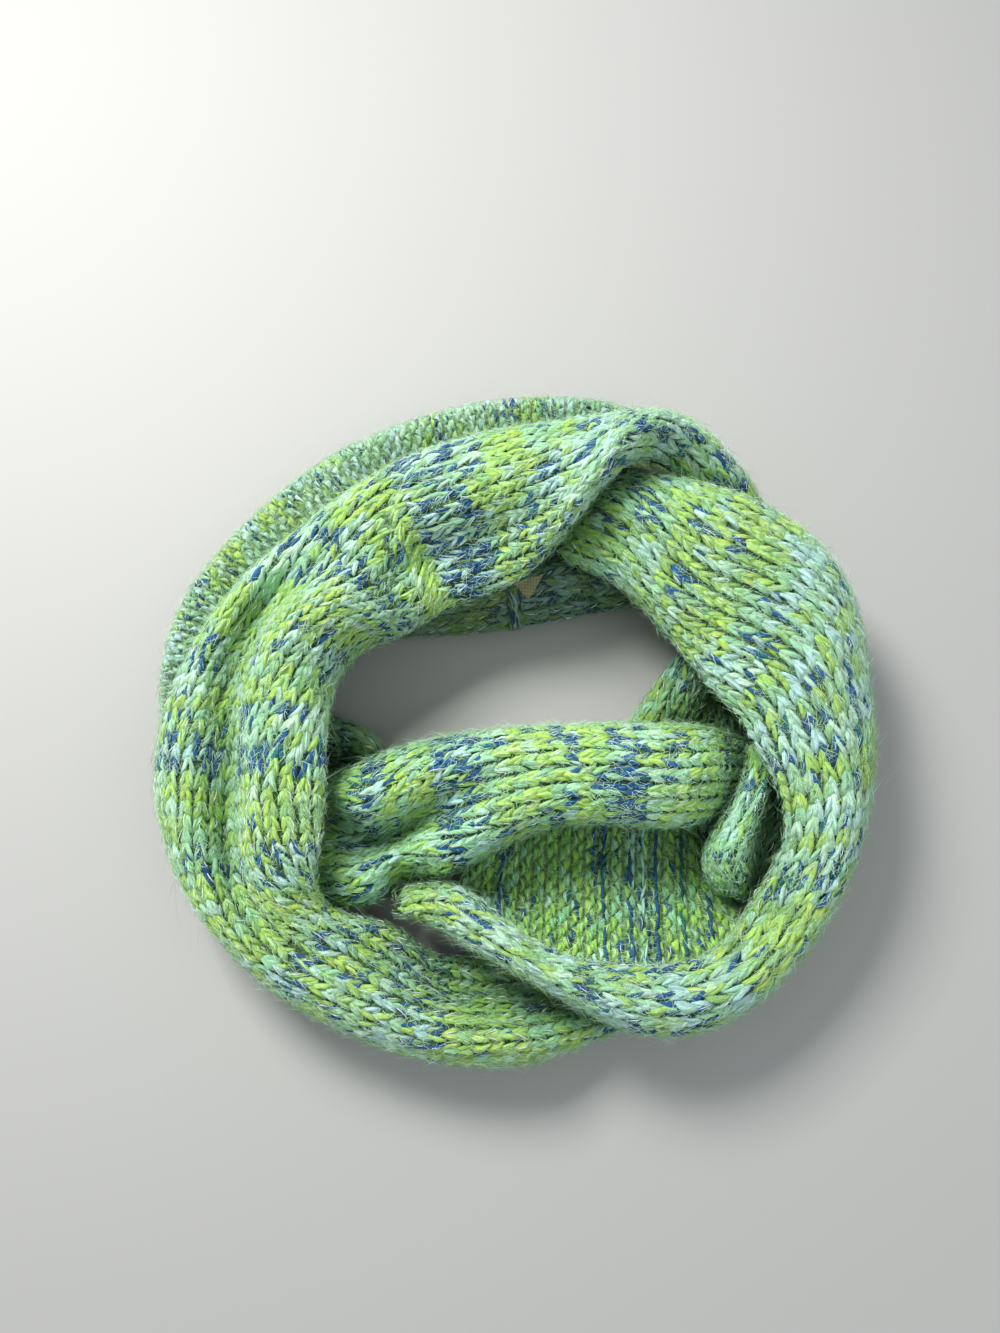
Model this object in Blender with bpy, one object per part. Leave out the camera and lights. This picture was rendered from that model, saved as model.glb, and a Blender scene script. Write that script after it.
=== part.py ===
"""An infinity scarf, knitted in chunky yarn and lying wound double on a table.

Each stretch of cloth that shows is a sheet lofted through a short table of sections, given
its thickness by Solidify. The layers inside are one rounded solid with a flat underside.
X is to the right, Y is away from the front, Z is up. The tables are in millimetres.
"""

from collections import namedtuple

import bmesh
import bpy
import numpy as np
from mathutils import Matrix, Vector
from mathutils.bvhtree import BVHTree

MM = 0.001
MIDDLE = (-1.7, 0.5)  # the middle of the whole in the tables, where the origin goes
CLOTH = 3.0 * MM  # thickness of the knitting
GAP = 0.3 * MM  # what meets is kept this far apart
TUCK = 9.0  # how far a side turns in under itself
MOST_TUCK = 0.3  # and at most this share of the width
CREST_AT = 0.54  # where a crest lies, as a share of the way from its side to the fold
WIDEST_AT = 0.42  # a side stands widest at this share of its height
SHOULDER_AT = 0.84  # and rounds over towards the crest from this one
SLACK = 1.0 * MM  # a layer lies this far below the one that covers it
REACH = 4.5 * MM  # and starts to dip this far outside its edge
PROBE = 1.5 * MM  # spacing of the rays that find the room for them
CLEARANCE = 3.0 * MM  # how far they keep from steep cloth
LEAST_ROOM = 16.0 * MM  # and the lowest space that they fill
LEAST_WIDTH = 8  # in rays
SHRINK = 0.03  # how much they are drawn in, time after time, where they touch cloth
SHRINKS = 60
SEAM_AT = 2.0  # x of the end seam
SEAM_WIDTH = 5.0
SEAM_RISE = 0.8 * MM
SEAM_COLUMNS = (2.3, 6.2)  # where it starts and ends, across the stretch that it lies on
SEAM_POINTS = 12
TAB_CORNERS = ((1.8, 17.4), (8.0, 9.0))  # x of its sides, at the top and at the point
TAB_COLUMNS = (1.3, 2.5)
TAB_POINTS = 4
THIN = 1.0 * MM
UP = Vector((0, 0, 1))

GRIDS = {  # points along and across each sheet
    "left": (44, 17),
    "right": (40, 15),
    "tongue": (10, 9),
    "across": (22, 15),
    "outer_back": (28, 9),
    "inner_back": (17, 8),
    "inner_right": (8, 9),
    "front_hollow": (14, 9),
    "left_fold": (7, 8),
}
RIGHT_START = slice(0, 5)  # rows of the right stretch that pass under the left one
LEFT_ENDS = (slice(0, 7), slice(40, 44))  # rows of the left stretch that pass under the right one

# One section across a stretch. "outer" and "inner" are where its two sides stand widest in
# plan. The crests are heights in the outer part, at the fold and in the inner part, and
# "fold" is where the middle one lies, as a share of the way across. The feet are the heights
# where the two sides end.
Section = namedtuple(
    "Section",
    "outer_x outer_y inner_x inner_y crest_out crest_mid crest_in foot_out foot_in fold",
    defaults=(0.5,),
)

LEFT_STRETCH = (
    #        outer edge  inner edge  crests      feet    fold
    Section(60, -137, 55, -120, 14, 13, 12, 1, 1),
    Section(40, -140, 34, -118, 19, 16, 12, 1, 1),
    Section(20, -147, 15, -112, 34, 24, 12, 1, 2),
    Section(-5, -152, -11, -106, 40, 30, 14, 1, 2),
    Section(-38, -148, -31, -110, 42, 38, 24, 1, 4),
    Section(-77, -134, -48, -96, 46, 46, 40, 1, 8),
    Section(-110, -112, -74, -90, 50, 47, 54, 6, 26, 0.42),
    Section(-135, -84, -79, -78, 52, 45, 62, 12, 44, 0.42),
    Section(-148, -56, -75, -59, 52, 42, 66, 13, 48, 0.40),
    Section(-153, -25, -76, -32, 52, 42, 67, 16, 46, 0.43),
    Section(-151, -11, -78, -12, 53, 44, 67, 20, 32, 0.40),
    Section(-147, 1, -77, 3, 54, 46, 66, 26, 26, 0.36),
    Section(-136, 24, -68, 21, 56, 48, 68, 28, 20, 0.29),
    Section(-120, 51, -52, 27, 57, 51, 70, 28, 20, 0.26),
    Section(-99, 70, -46, 29, 60, 58, 67, 28, 22, 0.35),
    Section(-79, 88, -40, 34, 63, 60, 53, 28, 26, 0.45),
    Section(-50, 107, -18, 43, 66, 66, 52, 28, 34),
    Section(-14, 118, -1, 48, 70, 72, 56, 28, 36),
    Section(22, 123, 17, 60, 72, 78, 74, 28, 46),
    Section(49, 127, 34, 79, 70, 82, 84, 28, 60),
    Section(69, 130, 56, 104, 66, 77, 76, 24, 54),
    Section(87, 127, 72, 103, 57, 65, 62, 14, 46),
    Section(104, 115, 87, 89, 46, 51, 46, 4, 32),
    Section(120, 98, 105, 76, 33, 34, 28, 1, 14),
    Section(129, 80, 112, 60, 15, 15, 15, 1, 1),
)

RIGHT_STRETCH = (
    Section(22, 90, 20, 66, 48, 50, 48, 32, 35),
    Section(35, 98, 27, 58, 56, 58, 54, 30, 35),
    Section(50, 103, 37, 58, 60, 62, 54, 30, 32),
    Section(66, 98, 50, 50, 64, 67, 58, 32, 24),
    Section(84, 93, 62, 38, 70, 70, 60, 38, 18),
    Section(106, 84, 74, 23, 70, 70, 62, 42, 20),
    Section(131, 74, 83, 5, 68, 70, 62, 17, 30),
    Section(151, 47, 96, -11, 64, 68, 60, 1, 40),
    Section(155, 11, 103, -28, 60, 66, 58, 1, 44),
    Section(155, -21, 110, -42, 58, 62, 56, 1, 42),
    Section(148, -56, 113, -61, 54, 56, 52, 1, 36),
    Section(136, -85, 103, -81, 50, 50, 44, 1, 26),
    Section(118, -110, 90, -100, 46, 48, 42, 1, 24),
    Section(95, -130, 80, -108, 46, 48, 44, 1, 25),
    Section(74, -138, 64, -112, 47, 50, 46, 6, 27),
    Section(53, -138, 44, -112, 50, 52, 48, 20, 28),
    Section(34, -131, 23, -109, 52, 54, 50, 24, 30),
    Section(11, -119, 7, -102, 52, 54, 52, 26, 30),
    Section(-11, -107, -8, -91, 50, 52, 50, 24, 30),
    Section(-26, -100, -21, -80, 46, 48, 46, 16, 28),
    Section(-36, -92, -35, -78, 40, 42, 40, 12, 24),
    Section(-44, -92, -45, -81, 36, 37, 36, 16, 22),
    Section(-49, -92, -50, -82, 33, 33, 33, 21, 22),
)

ACROSS_STRETCH = (
    Section(-87, -36, -85, -87, 38, 26, 40, 10, 10, 0.22),
    Section(-79, -34, -77, -89, 42, 24, 43, 10, 10, 0.27),
    Section(-71, -30, -68, -89, 46, 22, 44, 10, 10, 0.50),
    Section(-63, -26, -60, -87, 48, 20, 40, 10, 10, 0.64),
    Section(-52, -22, -49, -83, 50, 24, 40, 12, 10, 0.62),
    Section(-36, -18, -31, -77, 52, 34, 44, 14, 12, 0.56),
    Section(-14, -15, -8, -65, 53, 47, 49, 14, 14),
    Section(13, -13, 14, -55, 53, 53, 50, 14, 14),
    Section(39, -12, 38, -53, 53, 55, 52, 14, 14),
    Section(61, -12, 59, -55, 53, 56, 52, 14, 14),
    Section(81, -12, 78, -54, 48, 50, 46, 14, 14),
    Section(95, -13, 92, -47, 36, 36, 32, 12, 12),
    Section(109, -15, 106, -42, 20, 20, 20, 8, 8),
)

OUTER_BACK_STRETCH = (
    Section(-126, -89, -114, -82, 9, 9, 9, 1, 1),
    Section(-145, -58, -133, -56, 11, 11, 11, 1, 1),
    Section(-155, -24, -142, -22, 13, 13, 13, 1, 5),
    Section(-160, -4, -145, -3, 22, 22, 22, 1, 18),
    Section(-158, 14, -138, 12, 32, 33, 32, 1, 30),
    Section(-154, 42, -126, 31, 34, 34, 33, 1, 31),
    Section(-138, 70, -110, 54, 34, 34, 33, 1, 31),
    Section(-114, 98, -88, 78, 34, 34, 33, 1, 31),
    Section(-81, 125, -61, 99, 34, 34, 33, 1, 31),
    Section(-51, 139, -36, 111, 34, 34, 33, 1, 31),
    Section(-15, 150, -9, 118, 34, 34, 33, 1, 31),
    Section(25, 153, 21, 120, 34, 34, 33, 1, 31),
    Section(54, 149, 46, 121, 32, 32, 31, 1, 28),
    Section(72, 144, 63, 123, 26, 26, 25, 1, 22),
    Section(88, 135, 80, 120, 14, 14, 12, 1, 8),
)

INNER_BACK_STRETCH = (
    Section(-86, 36, -79, 18, 17, 17, 14, 14, 1),
    Section(-64, 48, -65, 34, 26, 24, 18, 24, 1),
    Section(-46, 49, -47, 36, 32, 30, 24, 30, 1),
    Section(-28, 51, -28, 37, 34, 32, 26, 32, 1),
    Section(-5, 60, -5, 39, 34, 32, 26, 32, 1),
    Section(13, 68, 18, 43, 34, 32, 26, 32, 1),
    Section(30, 71, 42, 48, 32, 30, 24, 30, 1),
    Section(41, 68, 58, 51, 28, 26, 22, 26, 1),
)

INNER_RIGHT_STRETCH = (
    Section(111, 24, 84, 34, 16, 24, 22, 12, 1, 0.55),
    Section(112, 10, 78, 26, 14, 24, 24, 10, 1, 0.62),
    Section(111, 0, 65, 10, 10, 22, 24, 8, 1, 0.62),
    Section(108, -11, 53, -7, 10, 16, 20, 8, 1, 0.60),
    Section(102, -22, 46, -17, 10, 12, 14, 8, 1),
)

RIGHT_TONGUE = (
    Section(123, -15, 103, -19, 26, 37, 35, 22, 24, 0.65),
    Section(122, -30, 101, -30, 28, 40, 38, 22, 30, 0.65),
    Section(121, -45, 94, -45, 28, 41, 38, 22, 28, 0.68),
    Section(119, -60, 84, -60, 26, 40, 36, 20, 18, 0.68),
    Section(115, -71, 82, -71, 24, 36, 32, 18, 8, 0.62),
    Section(109, -80, 87, -79, 20, 28, 24, 14, 8, 0.55),
    Section(103, -87, 93, -83, 18, 20, 18, 12, 10),
)

FRONT_HOLLOW = (
    Section(-18, -62, -24, -83, 18, 16, 18, 22, 24),
    Section(-5, -53, -7, -98, 10, 8, 14, 14, 24),
    Section(15, -43, 12, -108, 7, 6, 12, 10, 24),
    Section(40, -41, 37, -117, 6, 6, 12, 8, 24),
    Section(67, -41, 64, -118, 6, 6, 12, 8, 24),
    Section(89, -45, 86, -111, 7, 6, 12, 10, 22),
    Section(104, -52, 100, -100, 9, 7, 10, 12, 16),
)

LEFT_INNER_FOLD = (
    Section(-92, 0, -90, -27, 22, 20, 14, 1, 10),
    Section(-83, -3, -83, -30, 22, 20, 14, 1, 10),
    Section(-73, -6, -75, -32, 22, 20, 14, 1, 10),
    Section(-64, -11, -68, -34, 20, 18, 12, 1, 8),
    Section(-57, -17, -62, -35, 14, 14, 8, 1, 6),
)


def smooth(points, knots, at):
    """Values at `at` on a curve that runs smoothly through every point."""
    points = np.asarray(points, float)
    slope = np.gradient(points, knots, axis=0)
    span = np.clip(np.searchsorted(knots, at, side="right") - 1, 0, len(knots) - 2)
    step = (knots[span + 1] - knots[span])[:, None]
    t = (at - knots[span])[:, None] / step
    return (
        (2 * t**3 - 3 * t**2 + 1) * points[span]
        + (t**3 - 2 * t**2 + t) * step * slope[span]
        + (3 * t**2 - 2 * t**3) * points[span + 1]
        + (t**3 - t**2) * step * slope[span + 1]
    )


def lengths_along(points):
    """How far along its own line each point lies."""
    steps = np.linalg.norm(np.diff(points, axis=0), axis=1)
    return np.concatenate([[0.0], np.cumsum(steps)])


def spread(points, count):
    """The same line, smoothed, with `count` points an equal distance apart."""
    knots = lengths_along(points)
    fine = smooth(points, knots, np.linspace(0, knots[-1], 8 * count))
    length = lengths_along(fine)
    even = np.linspace(0, length[-1], count)
    return np.stack([np.interp(even, length, axis) for axis in fine.T], axis=1)


def sections_along(table, count):
    """`count` sections, evenly spaced along the middle of the stretch."""
    rows = np.array(table, float)
    knots = lengths_along((rows[:, 0:2] + rows[:, 2:4]) / 2)
    fine = smooth(rows, knots, np.linspace(0, knots[-1], 8 * count))
    length = lengths_along((fine[:, 0:2] + fine[:, 2:4]) / 2)
    even = np.linspace(0, length[-1], count)
    return [Section(*row) for row in np.stack([np.interp(even, length, c) for c in fine.T], axis=1)]


def sheet_profile(section, tucked_out=True, tucked_in=True):
    """The line of the cloth across a stretch. A side either tucks under or ends as it is."""
    s = section
    outer = np.array([s.outer_x, s.outer_y])
    inner = np.array([s.inner_x, s.inner_y])
    width = np.linalg.norm(inner - outer)
    tuck = min(TUCK / width, MOST_TUCK)
    first = CREST_AT * s.fold
    last = 1 - CREST_AT * (1 - s.fold)
    profile = [(first, s.crest_out), (s.fold, s.crest_mid), (last, s.crest_in)]
    if tucked_out:
        rise = s.crest_out - s.foot_out
        side = [(tuck, 0), (0, WIDEST_AT), (first / 3, SHOULDER_AT)]
        profile = [(share, s.foot_out + up * rise) for share, up in side] + profile
    else:
        profile = [(0, s.foot_out)] + profile
    if tucked_in:
        rise = s.crest_in - s.foot_in
        side = [(1 - (1 - last) / 3, SHOULDER_AT), (1, WIDEST_AT), (1 - tuck, 0)]
        profile = profile + [(share, s.foot_in + up * rise) for share, up in side]
    else:
        profile = profile + [(1, s.foot_in)]
    return np.array([(*(outer + share * (inner - outer)), height) for share, height in profile])


def sheet_grid(table, rows, columns, **sides):
    """Points of the cloth's outer face, `rows` sections along it and `columns` across."""
    sections = sections_along(table, rows)
    grid = MM * np.array([spread(sheet_profile(s, **sides), columns) for s in sections])
    grid[1:-1] = (grid[:-2] + 2 * grid[1:-1] + grid[2:]) / 4
    return grid


def trees_of(objects):
    """What rays are cast against: the finished faces of these objects."""
    bpy.context.view_layer.update()
    graph = bpy.context.evaluated_depsgraph_get()
    return [BVHTree.FromObject(obj, graph) for obj in objects]


def first_hit(trees, x, y, start, direction):
    """Height of the first face met straight up or down from a point, and whether the ray
    meets it from outside, or None where there is nothing."""
    found = None
    for tree in trees:
        place, normal, _, distance = tree.ray_cast(Vector((x, y, start)), direction)
        if place is not None and (found is None or distance < found[0]):
            found = (distance, place.z, normal.dot(direction) < 0)
    return found and found[1:]


def around(reach, count=8):
    """A centre and a ring of offsets round it."""
    angles = np.linspace(0, 2 * np.pi, count, endpoint=False)
    return [(0.0, 0.0)] + [(reach * np.cos(a), reach * np.sin(a)) for a in angles]


def press_under(grid, covers, rows=slice(None)):
    """Lowers these rows of a grid so that they pass below the objects that cover them."""
    trees = trees_of(covers)
    for point in grid[rows].reshape(-1, 3):
        hits = [
            first_hit(trees, point[0] + dx, point[1] + dy, -MM, UP) for dx, dy in around(REACH)
        ]
        lowest = min([height for height, _ in filter(None, hits)], default=None)
        if lowest is not None:
            point[2] = min(point[2], lowest - SLACK)
    return grid


def new_object(name, bm, material):
    mesh = bpy.data.meshes.new(name)
    bm.to_mesh(mesh)
    bm.free()
    mesh.shade_smooth()
    mesh.materials.append(material)
    obj = bpy.data.objects.new(name, mesh)
    bpy.context.scene.collection.objects.link(obj)
    return obj


def on_sheet(grid, row, column, lift):
    """A point by its row and column in a sheet, in between too, moved out from the face."""
    i, j = int(row), int(column)
    u, v = row - i, column - j
    near = (1 - v) * grid[i, j] + v * grid[i, j + 1]
    far = (1 - v) * grid[i + 1, j] + v * grid[i + 1, j + 1]
    across = (1 - u) * (grid[i, j + 1] - grid[i, j]) + u * (grid[i + 1, j + 1] - grid[i + 1, j])
    out = np.cross(across, far - near)
    return (1 - u) * near + u * far + lift * out / np.linalg.norm(out)


def row_at(grid, x):
    """The row of a sheet, in between too, that lies at this x, in millimetres."""
    return np.interp(MM * x, grid[:, grid.shape[1] // 2, 0], range(len(grid)))


def seam_grid(cloth):
    """A low ridge across a sheet, from under the stretch above it down to the table."""
    lines = ((-SEAM_WIDTH / 2, 0), (0, SEAM_RISE), (SEAM_WIDTH / 2, 0))
    columns = np.linspace(*SEAM_COLUMNS, SEAM_POINTS)
    return np.array([
        [on_sheet(cloth, row_at(cloth, SEAM_AT + x), column, 2 * GAP + rise) for column in columns]
        for x, rise in lines
    ])


def tab_grid(cloth):
    """A pointed corner that lies on a sheet."""
    tops, points = (np.linspace(*ends, TAB_POINTS) for ends in TAB_CORNERS)
    first, last = TAB_COLUMNS
    return np.array([
        [
            on_sheet(
                cloth,
                row_at(cloth, (1 - down) * top + down * point),
                (1 - down) * first + down * last,
                2 * GAP,
            )
            for down in np.linspace(0, 1, TAB_POINTS)
        ]
        for top, point in zip(tops, points)
    ])


def sheet_object(name, grid, material, thickness=CLOTH, offset=-1):
    """A sheet of faces through a grid of points, thickened inwards (-1) or outwards (1)."""
    rows, columns = grid.shape[:2]
    bm = bmesh.new()
    points = [[bm.verts.new(point) for point in line] for line in grid]
    for i in range(rows - 1):
        for j in range(columns - 1):
            bm.faces.new((points[i][j], points[i][j + 1], points[i + 1][j + 1], points[i + 1][j]))
    obj = new_object(name, bm, material)
    wall = obj.modifiers.new("cloth", "SOLIDIFY")
    wall.thickness = thickness
    wall.offset = offset
    return obj


def yarn(name, colour):
    material = bpy.data.materials.new(name)
    material.use_nodes = True
    shader = material.node_tree.nodes["Principled BSDF"]
    shader.inputs["Base Color"].default_value = (*colour, 1)
    shader.inputs["Roughness"].default_value = 0.9
    shader.inputs["Metallic"].default_value = 0
    material.diffuse_color = (*colour, 1)
    return material


def ceiling_at(trees, x, y):
    """How far the space over a point of the table goes up, or 0 where no cloth covers it."""
    hits = [first_hit(trees, x + dx, y + dy, -MM, UP) for dx, dy in around(CLEARANCE)]
    if not all(hit and hit[1] for hit in hits):
        return 0.0
    return min(height for height, _ in hits) - SLACK


def room_under(table, rows, columns, overhang, inset, trees):
    """Rings round the room under a stretch: along the ceiling and back along the table."""
    tops = []
    for section in sections_along(table, rows):
        outer = MM * np.array([section.outer_x, section.outer_y])
        inner = MM * np.array([section.inner_x, section.inner_y])
        across = (inner - outer) / np.linalg.norm(inner - outer)
        steps = np.arange(-overhang, np.linalg.norm(inner - outer) - inset, PROBE)
        heights = np.array([ceiling_at(trees, *(outer + step * across)) for step in steps])
        edges = np.flatnonzero(np.diff(np.pad((heights > LEAST_ROOM).astype(int), 1)))
        width, first, last = max((b - a, a, b - 1) for a, b in edges.reshape(-1, 2))
        if width < LEAST_WIDTH:
            continue
        picks = np.linspace(first, last, columns)
        places = [outer + np.interp(pick, range(len(steps)), steps) * across for pick in picks]
        ends = np.pad(picks, 1, mode="edge").astype(int)
        high = [heights[a : b + 1].min() for a, b in zip(ends, ends[2:])]
        tops.append([(*place, height) for place, height in zip(places, high)])
    tops = np.array(tops)
    beside = np.pad(tops[:, :, 2], ((1, 1), (0, 0)), mode="edge")
    tops[:, :, 2] = np.minimum(tops[:, :, 2], np.minimum(beside[:-2], beside[2:]))
    return np.concatenate([tops, tops[:, ::-1] * (1, 1, 0)], axis=1)


def loft_faces(rows, columns):
    """The sides and the two ends of a loft, as corners numbered along its rings."""
    ring = np.arange(columns)
    sides = [
        (i * columns + j, i * columns + k, (i + 1) * columns + k, (i + 1) * columns + j)
        for i in range(rows - 1)
        for j, k in zip(ring, np.roll(ring, -1))
    ]
    return sides + [tuple(ring[::-1]), tuple((rows - 1) * columns + ring)]


def drawn_clear(rings, trees):
    """The same rings, drawn in towards their middles until the loft touches no cloth."""
    rows, columns = rings.shape[:2]
    points = rings.reshape(-1, 3).copy()
    faces = loft_faces(rows, columns)
    middles = np.repeat(rings.mean(axis=1) * (1, 1, 0), columns, axis=0)
    for _ in range(SHRINKS):
        loft = BVHTree.FromPolygons(points.tolist(), faces)
        touching = {faces[face] for tree in trees for face, _ in loft.overlap(tree)}
        if not touching:
            break
        corners = sorted({corner for face in touching for corner in face})
        points[corners] += SHRINK * (middles[corners] - points[corners])
        points[points[:, 2] < SLACK, 2] = 0
    return points.reshape(rings.shape)


def loft_object(name, rings, material):
    """A closed solid through rings of points."""
    bm = bmesh.new()
    points = [bm.verts.new(point) for point in rings.reshape(-1, 3)]
    for face in loft_faces(*rings.shape[:2]):
        bm.faces.new([points[corner] for corner in face])
    bmesh.ops.recalc_face_normals(bm, faces=bm.faces)
    return new_object(name, bm, material)


def hidden_layers(trees, material):
    """The layers nobody sees: the room under three stretches, filled and joined."""
    rooms = (
        # name, table, rows, columns, overhang, inset
        ("hidden_layers", LEFT_STRETCH[5:22], 40, 11, 24 * MM, 10 * MM),
        ("under_right", RIGHT_STRETCH[1:11], 22, 10, 0, 16 * MM),
        ("inside_across", ACROSS_STRETCH[:12], 20, 14, 0, 0),
    )
    solids = []
    for name, table, rows, columns, overhang, inset in rooms:
        rings = drawn_clear(room_under(table, rows, columns, overhang, inset, trees), trees)
        solids.append(loft_object(name, rings, material))
    for solid in solids[1:]:
        joined = solids[0].modifiers.new(solid.name, "BOOLEAN")
        joined.operation = "UNION"
        joined.object = solid
        solid.hide_render = True
        solid.display_type = "WIRE"
    return solids


def main():
    for obj in list(bpy.data.objects):
        bpy.data.objects.remove(obj)

    left_grid = sheet_grid(LEFT_STRETCH, *GRIDS["left"])
    left = sheet_object("left_stretch", left_grid, yarn("left_yarn", (0.40, 0.64, 0.24)))
    grid = press_under(sheet_grid(RIGHT_STRETCH, *GRIDS["right"]), [left], RIGHT_START)
    right = sheet_object("right_stretch", grid, yarn("right_yarn", (0.46, 0.68, 0.18)))
    for rows in LEFT_ENDS:
        press_under(left_grid, [right], rows)
    left.data.vertices.foreach_set("co", left_grid.ravel())

    grid = sheet_grid(RIGHT_TONGUE, *GRIDS["tongue"], tucked_out=False)
    press_under(grid, [right])
    tongue = sheet_object("right_tongue", grid, yarn("tongue_yarn", (0.24, 0.62, 0.30)))
    grid = press_under(sheet_grid(ACROSS_STRETCH, *GRIDS["across"]), [left, right, tongue])
    across = sheet_object("across_stretch", grid, yarn("across_yarn", (0.46, 0.62, 0.14)))
    cloth = [left, right, tongue, across]

    grid = sheet_grid(OUTER_BACK_STRETCH, *GRIDS["outer_back"], tucked_in=False)
    press_under(grid, [left])
    cloth.append(sheet_object("outer_back_stretch", grid, yarn("outer_yarn", (0.50, 0.62, 0.42))))
    grid = sheet_grid(INNER_BACK_STRETCH, *GRIDS["inner_back"], tucked_out=False)
    press_under(grid, [left, right])
    cloth.append(sheet_object("inner_back_stretch", grid, yarn("inner_yarn", (0.16, 0.44, 0.24))))
    seam = seam_grid(grid)
    tab = tab_grid(grid)
    cloth.append(sheet_object("end_seam", seam, yarn("seam_yarn", (0.12, 0.32, 0.18)), THIN, 1))
    cloth.append(sheet_object("sewn_tab", tab, yarn("tab_tape", (0.50, 0.42, 0.24)), THIN, 1))

    grid = sheet_grid(INNER_RIGHT_STRETCH, *GRIDS["inner_right"], tucked_out=False)
    press_under(grid, [left, right, tongue, across])
    cloth.append(sheet_object("inner_right_stretch", grid, yarn("shade_yarn", (0.32, 0.46, 0.10))))
    grid = sheet_grid(FRONT_HOLLOW, *GRIDS["front_hollow"], tucked_out=False, tucked_in=False)
    press_under(grid, [right, tongue, across])
    cloth.append(sheet_object("front_hollow", grid, yarn("hollow_yarn", (0.42, 0.68, 0.38))))
    grid = sheet_grid(LEFT_INNER_FOLD, *GRIDS["left_fold"], tucked_in=False)
    press_under(grid, [left, across])
    cloth.append(sheet_object("left_inner_fold", grid, yarn("fold_yarn", (0.40, 0.52, 0.22))))

    layers = hidden_layers(trees_of(cloth), yarn("hidden_yarn", (0.10, 0.26, 0.14)))
    for obj in [*cloth, *layers]:
        obj.data.transform(Matrix.Translation((-MM * MIDDLE[0], -MM * MIDDLE[1], 0)))


main()
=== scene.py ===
import math

import bmesh
import bpy
import numpy as np
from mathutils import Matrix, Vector
from mathutils.bvhtree import BVHTree


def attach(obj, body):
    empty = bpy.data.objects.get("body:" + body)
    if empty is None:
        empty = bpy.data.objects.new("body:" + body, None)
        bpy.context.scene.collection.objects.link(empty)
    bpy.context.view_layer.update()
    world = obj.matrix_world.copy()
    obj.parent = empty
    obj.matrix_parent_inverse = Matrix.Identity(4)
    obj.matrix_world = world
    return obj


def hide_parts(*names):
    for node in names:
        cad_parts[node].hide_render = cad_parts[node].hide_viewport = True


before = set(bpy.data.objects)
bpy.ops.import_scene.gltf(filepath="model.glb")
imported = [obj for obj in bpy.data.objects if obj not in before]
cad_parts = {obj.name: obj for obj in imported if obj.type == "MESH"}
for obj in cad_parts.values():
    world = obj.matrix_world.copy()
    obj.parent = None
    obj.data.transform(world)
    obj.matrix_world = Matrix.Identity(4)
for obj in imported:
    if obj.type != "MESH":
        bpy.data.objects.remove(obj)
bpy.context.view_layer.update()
print("frame loaded:", len(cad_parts), "nodes")

mm = 0.001
middle = (-1.7, 0.5)  # the point of the tables that stands over the origin, in mm
chance = np.random.default_rng(11)

# the yarn and the gauge, in mm
knit = {
    "wale": 7.0,  # from one column of stitches to the next
    "row": 5.8,
    "legLength": 10.0,
    "legWidth": 3.9,
    "legHeight": 3.0,
    "legFrom": 0.12,  # where a leg starts and ends beside the middle of its stitch, in wales
    "legTo": 0.50,
    "legBend": 0.45,
    "legArch": 0.9,
    "legLift": -1.15,  # where a leg's middle line runs, from the face of the solid
    "legDive": -0.9,  # how far its end goes down behind the next stitch
    "bowLength": 6.3,
    "bowWidth": 3.2,
    "bowBend": 1.15,
    "bowArch": 1.7,
    "bowLift": -1.9,
    "bowAside": 0.16,  # how far the bows lie from the middle of their row, in rows
    "bowTurn": 0.08,  # how far they turn at random, in radians
    "sideLength": 6.4,  # the side of a loop, lower down between the rows of bows
    "sideArch": 0.2,
    "sideLift": -2.7,
    "backing": -1.6,  # the outer face of the cloth that shows between the stitches
    "backingThick": 1.0,
    "wander": 0.25,  # how far stitches stray
    "bowWander": 0.14,
    "lengthVary": 0.05,  # how uneven they are in length and lean, as a share and in radians
    "thickVary": 0.08,
    "liftVary": 0.14,
    "pull": (0.6, 1.35),  # the most a leg shortens and stretches where rows lie close or apart
    "thickPull": (0.85, 1.08),  # and how its thickness follows
    "plies": 2,
    "plyThick": 0.60,  # of the width of the leg
    "plyApart": 0.42,
    "plyTurn": 2.2,  # radians over one leg
}

# linear colours of the plies
ply = {
    "lime": (0.48, 0.76, 0.17),
    "yellow": (0.56, 0.79, 0.15),
    "leaf": (0.30, 0.57, 0.19),
    "mint": (0.40, 0.74, 0.46),
    "pale": (0.61, 0.89, 0.72),
    "ice": (0.55, 0.84, 0.86),
    "blue": (0.016, 0.115, 0.31),
    "teal": (0.015, 0.16, 0.20),
}
marl = {
    "darkest": 0.1,  # a ply with less red than this is a dark one
    "likeness": 0.65,  # how much of the colour of a light ply comes from its neighbour
    "stay": 0.45,  # how likely the yarn keeps its colours from one leg to the next
    "vary": 0.08,  # how uneven the colour is, and the least and the most of it
    "range": (0.7, 1.3),
    "share": (0.92, 1.1),  # how much of a ply keeps its own colour
}
# how often each ply is the light one and the marled one, in each kind of stripe
mainPly = {
    "lime": {"lime": 50, "yellow": 14, "mint": 16, "pale": 12, "leaf": 8},
    "mint": {"mint": 30, "pale": 26, "ice": 26, "lime": 14, "leaf": 2, "blue": 2},
    "flecked": {"lime": 29, "mint": 28, "pale": 21, "ice": 11, "leaf": 4, "blue": 6, "teal": 1},
    "blue": {"pale": 16, "ice": 13, "mint": 24, "lime": 12, "blue": 31, "teal": 4},
    "line": {"lime": 50, "mint": 26, "pale": 10, "blue": 14},
}
secondPly = {
    "lime": {"lime": 36, "yellow": 10, "mint": 20, "pale": 16, "leaf": 12, "blue": 5, "teal": 1},
    "mint": {"mint": 30, "pale": 22, "ice": 18, "lime": 12, "blue": 14, "teal": 4},
    "flecked": {"blue": 37, "pale": 22, "lime": 18, "mint": 19, "teal": 4},
    "blue": {"blue": 72, "teal": 6, "pale": 12, "mint": 10},
    "line": {"blue": 45, "teal": 5, "lime": 30, "mint": 20},
}


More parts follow.
